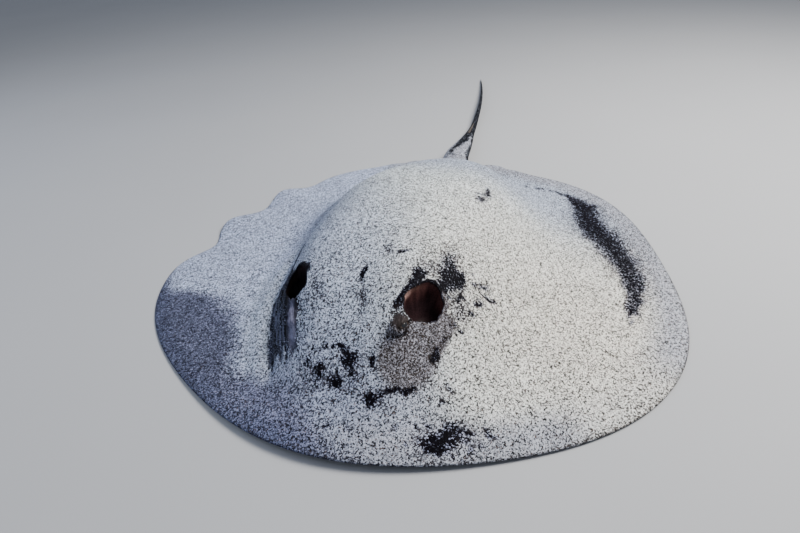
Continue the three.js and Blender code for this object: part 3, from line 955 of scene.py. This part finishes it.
def add_tail(skin, loop):
    """Rings from the opening that the disc leaves to the tip, which is closed by a fan."""
    start_ring = np.concatenate(skin.points)[loop]
    start = float(start_ring[:, 1].mean())
    near = loop
    for k in range(1, TAIL_STEPS + 1):
        y = start + (TAIL["end"] - start) * (k / TAIL_STEPS) ** 1.12
        own_share = float(ramp(k, 0, ROOT_STEPS))
        shifted = start_ring + [tail_x(y) - tail_x(start), y - start, 0]
        shifted[:, 0] = tail_x(y) + (shifted[:, 0] - tail_x(y)) * tail_half(y) / tail_half(start)
        section = shifted * (1 - own_share) + tail_section(y) * own_share
        far = skin.add(section, [], TAIL_SKIN)
        skin.faces += band_faces(near, far)
        near = far
    tip = skin.add([section.mean(axis=0) + [0, TIP_LENGTH, 0]], [], TAIL_SKIN)[0]
    skin.faces += [[a, tip, b] for a, b in zip(near, [*near[1:], near[0]])]


def add_pelvic_fin(skin, side):
    """A rounded lobe under the rear margin, thin at its edge."""
    centre = TAIL_ANGLE - side * math.radians(PELVIC["angle"])
    t = np.sin(np.linspace(-math.pi / 2, math.pi / 2, 29))
    angle = centre + t * math.radians(PELVIC["half_angle"])
    outer = margin_radius(angle) + PELVIC["reach"] * (2 * np.sqrt(np.maximum(1 - t * t, 0)) - 1) - INSET
    inner_angle = angle[-2:0:-1]
    inner = np.full(len(inner_angle), PELVIC["inner"] + INSET)
    rim = np.stack(plan_point(np.concatenate([angle, inner_angle]), np.concatenate([outer, inner])), 1)
    middle_reach = (PELVIC["inner"] + float(margin_radius(centre)) + PELVIC["reach"]) / 2
    middle = np.array(plan_point(centre, middle_reach))
    shares = np.array([0.25, 0.5, 0.72, 0.86, 0.93, 0.97, 0.99, 1.0])
    plan = [[middle], *(middle + share * (rim - middle) for share in shares)]
    edge = np.sqrt(1 - ramp(shares, 0.55, 1.0) ** 2)
    half = PELVIC["thickness"] / 2 - 0.3 * INSET
    swell = np.concatenate([[half], np.repeat(half * edge, len(rim))])
    faces = disc_faces(len(rim), len(shares))
    for sign in (1, -1):
        points = np.column_stack([np.concatenate(plan), PELVIC["thickness"] / 2 + sign * swell])
        skin.add(points, [face[::sign] for face in faces], PELVIC_SKIN)


# ---- markings

NIGHT = (0.0025, 0.0020, 0.0042)
GREY_SKIN = (0.021, 0.023, 0.038)
WARM_SKIN = (0.076, 0.066, 0.061)
BROWN_SKIN = (0.034, 0.028, 0.026)
EYE_SKIN = (0.026, 0.021, 0.022)
DUSK_BLUE = (0.055, 0.061, 0.100)
THROAT_RED = (0.082, 0.035, 0.034)
# painted light: the lit part of the left throat's wall
THROAT_PAINTED_LIGHT = (0.165, 0.085, 0.070)
# painted highlight on the left throat's wall
THROAT_PAINTED_HIGHLIGHT = (0.560, 0.345, 0.300)
THROAT_FOLD = (0.055, 0.040, 0.040)
# painted shade deep down in the throats
THROAT_DEEP_SHADE = (0.022, 0.012, 0.014)
LAVENDER = (0.150, 0.156, 0.240)
# painted highlight along the edge of the left eye's lids
LID_PAINTED_HIGHLIGHT = (0.046, 0.036, 0.031)
TAIL_DARK = (0.004, 0.005, 0.008)
BELLY_WHITE = (0.442, 0.414, 0.386)
BELLY_DUSK = (0.090, 0.079, 0.081)
# partly painted warm light
SAND_CREAM = (0.566, 0.552, 0.517)
SAND_PALE = (0.476, 0.538, 0.580)
# the next two blues are partly painted cool light and shade
SAND_COOL = (0.331, 0.386, 0.507)
SAND_PAINTED_BLUE_SHADE = (0.380, 0.445, 0.618)
SAND_MAUVE = (0.164, 0.184, 0.296)
SAND_EDGE = (0.275, 0.293, 0.350)
SAND_CHEEK = (0.250, 0.252, 0.298)
# painted shade for the sand on the right fin's front margin
SAND_PAINTED_SHADE = (0.105, 0.125, 0.225)
MOUTH_RED = (0.150, 0.062, 0.052)


def mix(a, b, share):
    share = np.clip(np.asarray(share), 0, 1)[:, None]
    return np.asarray(a) * (1 - share) + np.asarray(b) * share


def paint(colour, *layers):
    """Lays colours over a first one. Each layer is a colour and its share at every point."""
    for over, share in layers:
        colour = mix(colour, over, share)
    return colour


def facing_share(points, to_x, to_y):
    """Cosine of the angle between a point's way out from the left spiracle and the given way."""
    dx = points[:, 0] - SPIRACLE[1]["x"]
    dy = points[:, 1] - SPIRACLE[1]["y"]
    return (to_x * dx + to_y * dy) / np.maximum(np.hypot(dx, dy), 1e-6)


def throat_colour(points, throat):
    """Reddish flesh under painted shade that deepens towards the bottom, with a painted shadow just inside
    the rim, and a painted lit patch and a painted highlight on the wall towards the middle of the back. The
    right throat is painted almost black as shade.
    """
    grain = noise(points, 0.010, 71)
    # painted light and a painted highlight on the wall towards the middle of the back
    lit = ramp(facing_share(points, -0.80, 0.60) + 0.06 * grain, 0.78, 0.98)
    pale = ramp(facing_share(points, -0.96, -0.28) + 0.05 * grain, 0.80, 0.97)
    fold = ramp(facing_share(points, 0.35, -0.94), 0.2, 0.7)
    return paint(
        # painted shade at the bottom, giving way to the red flesh towards the rim
        THROAT_DEEP_SHADE,
        (THROAT_RED, ramp(throat, 0.50, 0.92)),
        (THROAT_PAINTED_LIGHT, lit * ramp(throat + 0.05 * grain, 0.78, 0.95)),
        (THROAT_PAINTED_HIGHLIGHT, 0.99 * pale * window(throat + 0.03 * grain, (0.76, 0.88), (0.94, 0.99))),
        (THROAT_FOLD, fold * ramp(throat + 0.05 * grain, 0.78, 0.90)),
        # painted shadow just inside the rim
        (NIGHT, 0.85 * ramp(throat, 0.93, 0.98)),
        # the right throat painted almost black as shade
        (NIGHT, 0.97 * (points[:, 0] < 0)),
    )


def lid_layers(points, side):
    """A painted highlight along the edge of the left eye's lids, brightest on the upper lid, and the dark
    slit between the lids of both eyes.
    """
    distance, ring, over = lid_places(points, side)
    close = distance < EYE["radius"] + 0.004
    # painted highlight along the lids' edge, brighter on the upper lid, on the left eye only
    edge = bump(ring - 1.10, 0.09) * (0.3 + 0.7 * ramp(over, 0.0, 0.2)) * (points[:, 0] > 0)
    return (LID_PAINTED_HIGHLIGHT, 0.7 * edge * close), (NIGHT, (1 - ramp(ring, 0.80, 0.98)) * close)


def bare_colour(points, part, throat):
    """Colour of the bare skin, where no sand lies on it, with painted shade, painted light and a painted
    highlight in the spiracles' throats, a painted highlight on the left eye's lids, and warmer skin on the
    left fin that is partly painted warm light.
    """
    x, y, z = points.T
    _, share = polar(x, y)
    streaks = noise(flat(crease_offset(x, y) * 2.3, y * 34), 1.0, 61)
    back = paint(
        GREY_SKIN,
        # warmer skin on the left fin, partly painted warm light
        (WARM_SKIN, warmth(x, y)),
        (BROWN_SKIN, cheek(x, y)),
        (NIGHT, ramp(bald(x, y), 0.30, 0.60)),
        (EYE_SKIN, 0.9 * near_eye(x, y, 0.022) * (x > 0)),
        (DUSK_BLUE, flank(x, y) * ramp(streaks, 0.0, 0.6)),
        (NIGHT, 0.8 * (1 - ramp(spiracle_oval(x, y, -1)[0], 1.15, 1.8))),
        (LAVENDER, 1.3 * lens_strip(x, y) * (1 - 0.5 * near_eye(x, y, 0.018))),
        *lid_layers(points, -1),
        *lid_layers(points, 1),
    )
    dusk = ramp(share + 0.012 * noise(points, 0.03, 31), 0.86, 0.93)
    deep = np.clip(underside_relief(x, y) / 0.006, 0, 1)
    choices = [
        (throat < 1, throat_colour(points, throat)),
        (part == BELLY, paint(BELLY_WHITE, (BELLY_DUSK, dusk), (MOUTH_RED, 0.85 * deep))),
        (part == PELVIC_SKIN, mix(BELLY_WHITE, GREY_SKIN, ramp(z, 0.001, 0.003))),
        (part == TAIL_SKIN, mix(GREY_SKIN, TAIL_DARK, ramp(z, 0.0, 0.006))),
    ]
    for chosen, colour in choices:
        back = np.where(chosen[:, None], colour, back)
    return back


def dust_of(points, part, throat):
    """How much fine dust clings to the bare skin. Below 0 there is none at all."""
    x, y, _ = points.T
    dust = 0.30 + 0.20 * cheek(x, y) + 0.18 * dark_fin(x, y)
    dust *= 1 - 0.94 * ramp(bald(x, y), 0.2, 0.6)
    dust += 0.23 * flank(x, y) * ramp(spiracle_oval(x, y, -1)[0], 1.1, 1.9)
    dust -= 0.5 * lens_strip(x, y) + 0.6 * near_eye(x, y, 0.012) + 0.2 * near_eye(x, y, 0.020)
    dust = np.where(part == TAIL_SKIN, 0.03, dust)
    return np.where((throat < 1) | (part == BELLY), -0.4, dust)


def tail_cover(points):
    """Sand lies on the tail's root, but for its left edge and a bare streak that widens to the rear."""
    x, y, z = points.T
    aside = (x - tail_x(y)) / tail_half(y) + 0.12 * noise(points, 0.009, 43)
    back = ramp(y, 0.46, 0.62)
    streak_half = 0.13 + 0.45 * back
    away = np.abs(aside + 0.32 - 0.30 * back)
    sand = ramp(away, streak_half - 0.08, streak_half + 0.08) * (1 - ramp(aside, 0.78, 0.90))
    sand *= 1 - ramp(y + 0.02 * noise(points, 0.012, 41), 0.60, 0.65)
    return 0.95 * sand * ramp((z - fold_depth(y)) / tail_height(y), 0.25, 0.45)


def cover_of(points, part, throat):
    """How thickly the sand lies on each point of the skin. Below 0 there is none at all."""
    x, y, z = points.T
    near_root = ramp(y, 0.40, 0.46) * (np.abs(x - tail_x(y)) < tail_half(y))
    beside_root = near_root * (1 - ramp(z / tail_height(y), 0.35, 0.7))
    cover = np.where(throat < 1, -1.0, sand_cover(x, y)) * np.where(part == BACK, 1 - beside_root, 1)
    cover = np.where(part == MARGIN, 0.35, cover)
    cover = np.where(part == TAIL_SKIN, tail_cover(points), cover)
    cover = np.where(part == PELVIC_SKIN, 0.97 * ramp(z, 0.0012, 0.0028), cover)
    return np.where(part == BELLY, -1.0, cover)


def sand_tint(points):
    """Cream on the left fin, pale on the mound, blue on the right, mauve on the snout and where it lies thin.
    The cream is partly painted warm light, the blues are partly painted cool light and shade, and the rear, a
    valley on the right and the right fin's front margin carry painted shade.
    """
    x, y, _ = points.T
    angle, share = polar(x, y)
    off = crease_offset(x, y)
    thin = dark_fin(x, y)
    valley = bump(off - 0.5, 2.6) * window(y, (-0.12, 0.0), (0.22, 0.33)) * (x < 0)
    edge = ramp(share, 0.83, 0.95) * ramp(x + 0.3 * y, -0.16, 0.0)
    edge *= 1 - 0.8 * window(np.degrees(angle), (43, 53), (64, 76))
    return paint(
        SAND_PALE,
        # cream on the left fin, partly painted warm light
        (SAND_CREAM, warmth(x, y)),
        # painted cool light on the right and the snout, and painted shade towards the rear
        (SAND_COOL, np.maximum(coolness(x, y), 0.85 * ramp(y, 0.05, 0.25))),
        # painted cool shade on the right fin beyond the crease
        (SAND_PAINTED_BLUE_SHADE, ramp(off, 0, 3) * (x < 0)),
        (SAND_PALE, 0.30 * stripe(x, y)),
        (SAND_MAUVE, 0.44 * snout(x, y)),
        # painted shade in the valley on the right, and the sand's own mauve where it lies thin on the right
        # fin's front
        (SAND_MAUVE, np.maximum(0.25 * valley, thin)),
        # painted shade along the right fin's front margin
        (SAND_PAINTED_SHADE, 0.7 * thin * ramp(share, 0.92, 0.98)),
        (SAND_EDGE, 0.9 * edge),
        (SAND_CHEEK, cheek(x, y)),
        (SAND_MAUVE, 0.7 * ramp(bald(x, y), 0.2, 0.8)),
    )


def bare_roughness(points, part, throat):
    """Leathery skin, smoother in the spiracles and round the left eye."""
    x, y, _ = points.T
    wet = 0.14 * near_eye(x, y, 0.016) * (part == BACK) * (x > 0)
    return np.where(throat < 1, 0.34, 0.58) - wet


def fan_coordinates(points, part, throat):
    """Coordinates that run along the fins' rays, or along the flank's creases, for streaks."""
    x, y, _ = points.T
    angle, share = polar(x, y)
    rays = flat(angle * 130, share * 30)
    creases = np.stack([crease_offset(x, y) * 3.2, y * 60, np.full(len(x), 7.0)], 1)
    found = np.where((flank(x, y) > 0.05)[:, None], creases, rays)
    plain = (throat < 1) | (part == BELLY) | (part == PELVIC_SKIN)
    return np.where(plain[:, None], 0.0, found)


# ---- meshes and materials

# sizes of the sand's grains, of its clumps and blotches, and of the skin's pores
GRAIN = 0.0017
FINE_GRAIN = 0.0011
CLUMP = 0.0031
BLOTCH = 0.060
PORE = 0.0018
GRAIN_HEIGHT = 0.0006
DARK_GRAIN = (0.23, 0.15, 0.12)
SAND_ROUGHNESS = (0.96, 0.96, 0.96)
ATTRIBUTE_FIELDS = {"FLOAT": "value", "FLOAT_COLOR": "color", "FLOAT_VECTOR": "vector"}


def add_to_scene(name, data):
    made = bpy.data.objects.new(name, data)
    bpy.context.scene.collection.objects.link(made)
    return made


def make_piece(name, points, faces, material, attributes):
    """A smooth mesh in the row frame. attributes are (name, type, values) for each point."""
    mesh = bpy.data.meshes.new(name)
    mesh.from_pydata([tuple(p) for p in np.asarray(points) + np.array(ORIGIN)], [], faces)
    mesh.polygons.foreach_set("use_smooth", [True] * len(mesh.polygons))
    for label, kind, values in attributes:
        attribute = mesh.attributes.new(label, kind, "POINT")
        if kind == "FLOAT_COLOR":
            values = np.column_stack([values, np.ones(len(values))])
        attribute.data.foreach_set(ATTRIBUTE_FIELDS[kind], np.asarray(values, np.float32).ravel())
    mesh.materials.append(material)
    piece = add_to_scene(name, mesh)
    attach(piece, "root")
    return piece


class Shader:
    """Builds a material's nodes. Each call makes a node and gives its first output."""

    def __init__(self, name):
        self.material = bpy.data.materials.new(name)
        self.material.use_nodes = True
        self.tree = self.material.node_tree
        self.tree.nodes.clear()

    def node(self, kind, inputs=None, **settings):
        made = self.tree.nodes.new(kind)
        for key, value in settings.items():
            setattr(made, key, value)
        for key, value in (inputs or {}).items():
            if isinstance(value, bpy.types.NodeSocket):
                self.tree.links.new(value, made.inputs[key])
            else:
                made.inputs[key].default_value = value
        return made

    def math(self, operation, first, *rest):
        for value in rest:
            first = self.node("ShaderNodeMath", {0: first, 1: value}, operation=operation).outputs[0]
        return first

    def total(self, *values):
        return self.math("ADD", *values)

    def product(self, *values):
        return self.math("MULTIPLY", *values)

    def range(self, value, low, high, to_low=0.0, to_high=1.0, kind="LINEAR"):
        inputs = {"Value": value, "From Min": low, "From Max": high, "To Min": to_low, "To Max": to_high}
        return self.node("ShaderNodeMapRange", inputs, interpolation_type=kind).outputs[0]

    def mix(self, share, a, b, kind="MIX"):
        colours = [c if isinstance(c, bpy.types.NodeSocket) else (*c, 1) for c in (a, b)]
        inputs = {0: share, 6: colours[0], 7: colours[1]}
        return self.node("ShaderNodeMix", inputs, data_type="RGBA", blend_type=kind).outputs[2]

    def grey(self, value):
        return self.node("ShaderNodeCombineColor", {0: value, 1: value, 2: value}).outputs[0]

    def shaded(self, colour, value):
        """A colour multiplied by a value."""
        return self.mix(1.0, colour, self.grey(value), "MULTIPLY")

    def attribute(self, name, output="Fac"):
        return self.node("ShaderNodeAttribute", attribute_name=name).outputs[output]

    def place(self):
        return self.node("ShaderNodeTexCoord").outputs["Object"]

    def noise(self, at, size, detail=2.0, rough=0.5):
        inputs = {"Vector": at, "Scale": 1 / size, "Detail": detail, "Roughness": rough}
        return self.node("ShaderNodeTexNoise", inputs).outputs["Fac"]

    def cells(self, at, size):
        """Random red, green and blue for each grain, and the distance from its middle."""
        made = self.node("ShaderNodeTexVoronoi", {"Vector": at, "Scale": 1 / size})
        parts = self.node("ShaderNodeSeparateColor", {0: made.outputs["Color"]}).outputs
        return parts[0], parts[1], parts[2], made.outputs["Distance"]

    def finish(self, inputs, relief=None, depth=0.001, strength=1.0):
        if relief is not None:
            settings = {"Height": relief, "Distance": depth, "Strength": strength}
            inputs["Normal"] = self.node("ShaderNodeBump", settings).outputs[0]
        surface = self.node("ShaderNodeBsdfPrincipled", inputs)
        self.node("ShaderNodeOutputMaterial", {0: surface.outputs[0]})
        return self.material


def skin_material():
    """Dark leathery skin under coral sand, whose grains thin out as the cover falls."""
    s = Shader("sand_dusted_skin")
    at = s.place()
    pick, shade, hue, distance = s.cells(at, GRAIN)
    fine_pick, fine_shade, _, fine_distance = s.cells(at, FINE_GRAIN)
    clump = s.noise(at, CLUMP, 3.0, 0.75)
    blotch = s.noise(at, BLOTCH, 3.0, 0.55)
    pores = s.noise(at, PORE, 2.0, 0.6)
    streak = s.noise(s.attribute("fan", "Vector"), 1.0, 2.0, 0.6)

    # the sand lies where the cover beats a mix of clumps, single grains and streaks along the rays
    spread = [s.range(clump, 0.0, 1.0, -0.44, 0.44), s.range(pick, 0.0, 1.0, -0.50, 0.50)]
    level = s.total(s.attribute("cover"), *spread, s.range(streak, 0.25, 0.75, -0.15, 0.15))
    sand = s.range(level, 0.46, 0.54, kind="SMOOTHSTEP")

    # most grains are bright, some are dark
    grey = s.product(
        s.range(shade, 0.15, 0.45, 0.06, 1.33),
        s.range(fine_shade, 0.0, 0.55, 0.50, 1.20),
        s.range(blotch, 0.3, 0.7, 0.92, 1.06),
        s.range(hue, 0.92, 0.95, 1.0, 0.40),
    )
    grains = s.shaded(s.attribute("tint", "Color"), grey)
    grains = s.mix(s.range(fine_pick, 0.93, 0.97, 0.0, 0.50), grains, DARK_GRAIN)

    # the skin between them, streaked and pored, with dust of the finer grains
    spread = [s.range(clump, 0.2, 0.8, -0.15, 0.15), s.range(streak, 0.3, 0.7, -0.12, 0.12)]
    dusty = s.math("SUBTRACT", s.total(s.attribute("dust"), *spread), fine_pick)
    dusty = s.range(dusty, -0.08, 0.08, kind="SMOOTHSTEP")
    skin = s.shaded(s.attribute("bare", "Color"), s.range(pores, 0.3, 0.7, 0.60, 1.35))
    skin = s.shaded(skin, s.range(streak, 0.35, 0.65, 0.50, 1.45))
    skin = s.mix(s.product(dusty, 0.62), skin, grains)

    dome = s.range(distance, 0.0, 0.7, 1.0, 0.0)
    fine_dome = s.range(fine_distance, 0.0, 0.7, 0.6, 0.0)
    height = s.product(s.total(dome, fine_dome, 1.0), sand)
    height = s.total(height, s.range(pores, 0.2, 0.8, 0.0, 0.35))
    rough = s.mix(sand, s.grey(s.attribute("rough")), SAND_ROUGHNESS)
    colour = s.mix(sand, skin, grains)
    inputs = {"Base Color": colour, "Roughness": rough, "Specular IOR Level": 0.03}
    return s.finish(inputs, height, GRAIN_HEIGHT, 0.8)


def eye_material():
    """A bulging eye: dark pupil flap over a mottled golden brown iris, under a clear wet coat."""
    s = Shader("wet_eye")
    mottle = s.noise(s.place(), 0.0022, 4.0, 0.65)
    iris = s.mix(s.range(mottle, 0.35, 0.65), (0.018, 0.011, 0.008), (0.110, 0.068, 0.038))
    iris = s.mix(s.range(s.attribute("ring"), 0.70, 0.86), iris, (0.018, 0.013, 0.012))
    wobble = s.total(s.attribute("flap"), s.range(mottle, 0.3, 0.7, -0.05, 0.05))
    colour = s.mix(s.range(wobble, 0.48, 0.52), iris, (0.004, 0.004, 0.005))
    inputs = {"Base Color": colour, "Roughness": 0.22, "Coat Weight": 1.0, "Coat Roughness": 0.04}
    return s.finish(inputs, mottle, 0.00015, 0.3)


def sting_material():
    """Pale brown horn, darker towards its root and mottled darker, with a film of slime."""
    s = Shader("horny_sting")
    grain = s.noise(s.place(), 0.0011, 3.0, 0.6)
    colour = s.mix(s.range(s.attribute("along"), 0.0, 1.0), (0.050, 0.038, 0.030), (0.110, 0.085, 0.062))
    colour = s.mix(s.range(grain, 0.35, 0.7, 0.0, 0.7), colour, (0.020, 0.015, 0.013))
    return s.finish({"Base Color": colour, "Roughness": 0.42}, grain, 0.0003, 0.6)


def make_skin():
    skin = Skin()
    loop = add_margin(skin, add_back(skin), add_belly(skin))
    add_tail(skin, loop)
    for side in (-1, 1):
        add_pelvic_fin(skin, side)
    points, part, throat = skin.arrays()
    attributes = [
        ("cover", "FLOAT", cover_of(points, part, throat)),
        ("bare", "FLOAT_COLOR", bare_colour(points, part, throat)),
        ("dust", "FLOAT", dust_of(points, part, throat)),
        ("tint", "FLOAT_COLOR", sand_tint(points)),
        ("rough", "FLOAT", bare_roughness(points, part, throat)),
        ("fan", "FLOAT_VECTOR", fan_coordinates(points, part, throat)),
    ]
    piece = make_piece("skin", points, skin.faces, skin_material(), attributes)
    flesh = [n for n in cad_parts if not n.startswith(("eye", "sting"))]
    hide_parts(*flesh)


def make_eye(side, material):
    """An eyeball that fills the CAD one, with its iris painted round where it looks."""
    look, along, over = eye_axes(side)
    name = "left" if side > 0 else "right"
    rings = 49
    columns = 64
    turns = np.repeat(np.linspace(0, math.pi, rings), columns)[:, None]
    spins = np.tile(2 * math.pi * np.arange(columns) / columns, rings)[:, None]
    unit = look * np.cos(turns) + (along * np.cos(spins) + over * np.sin(spins)) * np.sin(turns)
    ring = np.arccos(np.clip(unit @ look, -1, 1))
    flap_line = 0.30 - 0.75 * (unit @ along) ** 2
    flap = ramp(0.46 - ring, -0.04, 0.04) * ramp(flap_line - unit @ over, -0.03, 0.03)
    cornea = 1 + EYE["bulge"] * (1 - ramp(ring, 0.2, 0.8))
    points = eye_centre(side) + unit * ((EYE["radius"] - EYE["clearance"]) * cornea)[:, None]
    attributes = [("ring", "FLOAT", ring), ("flap", "FLOAT", flap)]
    piece = make_piece("eyeball_" + name, points, tube_faces(columns, rings), material, attributes)
    bm = bmesh.new()
    bm.from_mesh(piece.data)
    bmesh.ops.remove_doubles(bm, verts=bm.verts, dist=1e-6)
    bm.to_mesh(piece.data)
    bm.free()
    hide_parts("eye_" + name)


# right half of the sting's upper side, from its edge in: share of the half width and of the thickness
STING_TOP = [(0.62, 0.74), (0.30, 0.93), (0.10, 0.84)]


def sting_section(half, edge):
    """Round the sting at one place: two toothed edges, a grooved top and a flat underside."""
    right = [(edge, 0.35), *((share * half, high) for share, high in STING_TOP)]
    return right + [(-x, high) for x, high in reversed(right)] + [(-0.5 * half, 0.0), (0.5 * half, 0.0)]


def make_sting():
    """A flat barbed blade on top of the tail, its teeth pointing back towards the root."""
    count = STING["barbs"] * 4
    ends = np.array([STING["start"], STING["start"] + STING["length"]])
    low_z, high_z = tail_height(ends) + fold_depth(ends) - STING["sunk"]
    points = []
    along = []
    for i in range(count + 1):
        t = i / count
        y = STING["start"] + STING["length"] * t
        z = low_z + (high_z - low_z) * t + INSET
        taper = (1 - t**2.2) * 0.96 + 0.04
        half = STING["half_width"] * taper
        tooth = 1 - 0.24 * ((i % 4) / 4) * ramp(t, 0.12, 0.25)
        deep = STING["thickness"] * (0.35 + 0.65 * taper)
        section = sting_section(half, half * tooth)
        points += [(tail_x(y) + dx, y, z + deep * high) for dx, high in section]
        along += [t] * len(section)
    width = len(section)
    faces = tube_faces(width, count + 1)
    faces.append(list(range(width)))
    faces.append([count * width + k for k in reversed(range(width))])
    piece = make_piece("sting_blade", points, faces, sting_material(), [("along", "FLOAT", along)])
    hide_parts("sting")


# ---- studio

CAMERA = dict(target=(-0.027, -0.005, 0.0), elevation=34.3, azimuth=23.5, distance=1.045, roll=4.9, lens=24.3)
SENSOR_WIDTH = 36
FLOOR_REACH = 30.0
FLOOR_DROP = 0.0006
FLOOR_COLOURS = ((0.345, 0.359, 0.386), (0.373, 0.386, 0.414))
SKY = (0.72, 0.78, 0.90, 1)
SKY_STRENGTH = 0.435


def add_camera():
    rise = math.radians(CAMERA["elevation"])
    turn = math.radians(CAMERA["azimuth"])
    roll = math.radians(CAMERA["roll"])
    level_x, level_y = turned(0, -math.cos(rise), turn)
    back = Vector((level_x, level_y, math.sin(rise)))
    right = Vector((0, 0, 1)).cross(back).normalized()
    up = back.cross(right)
    rolled_right = right * math.cos(roll) - up * math.sin(roll)
    rolled_up = right * math.sin(roll) + up * math.cos(roll)
    data = bpy.data.cameras.new("camera")
    data.lens = CAMERA["lens"]
    data.sensor_width = SENSOR_WIDTH
    camera = add_to_scene("camera", data)
    axes = Matrix((rolled_right, rolled_up, back)).transposed().to_4x4()
    place = ORIGIN + Vector(CAMERA["target"]) + back * CAMERA["distance"]
    camera.matrix_world = Matrix.Translation(place) @ axes
    bpy.context.scene.camera = camera


def add_lamp(name, place, size, power, colour):
    """A soft square lamp that faces the middle of the disc."""
    data = bpy.data.lights.new(name, "AREA")
    data.size = size
    data.energy = power
    data.color = colour
    away = Vector(place)
    facing = away.to_track_quat("Z", "Y").to_matrix().to_4x4()
    add_to_scene(name, data).matrix_world = Matrix.Translation(ORIGIN + away) @ facing


def add_floor():
    mesh = bpy.data.meshes.new("floor")
    corners = [(x * FLOOR_REACH, y * FLOOR_REACH, 0) for x, y in ((-1, -1), (1, -1), (1, 1), (-1, 1))]
    mesh.from_pydata(corners, [], [(0, 1, 2, 3)])
    s = Shader("pale_floor")
    colour = s.mix(s.noise(s.place(), 0.5), *FLOOR_COLOURS)
    mesh.materials.append(s.finish({"Base Color": colour, "Roughness": 0.9}))
    floor = add_to_scene("floor", mesh)
    floor.location.z = -FLOOR_DROP


def add_sky():
    world = bpy.data.worlds.new("studio")
    world.use_nodes = True
    background = world.node_tree.nodes["Background"]
    background.inputs[0].default_value = SKY
    background.inputs[1].default_value = SKY_STRENGTH
    bpy.context.scene.world = world


add_camera()
make_skin()
wet_eye = eye_material()
for side in (-1, 1):
    make_eye(side, wet_eye)
make_sting()
add_floor()
add_lamp("key", (1.3, 0.7, 1.9), 1.2, 128, (1.0, 0.95, 0.87))
add_lamp("fill", (-1.9, -0.6, 1.5), 2.0, 25, (0.78, 0.85, 1.0))
add_sky()
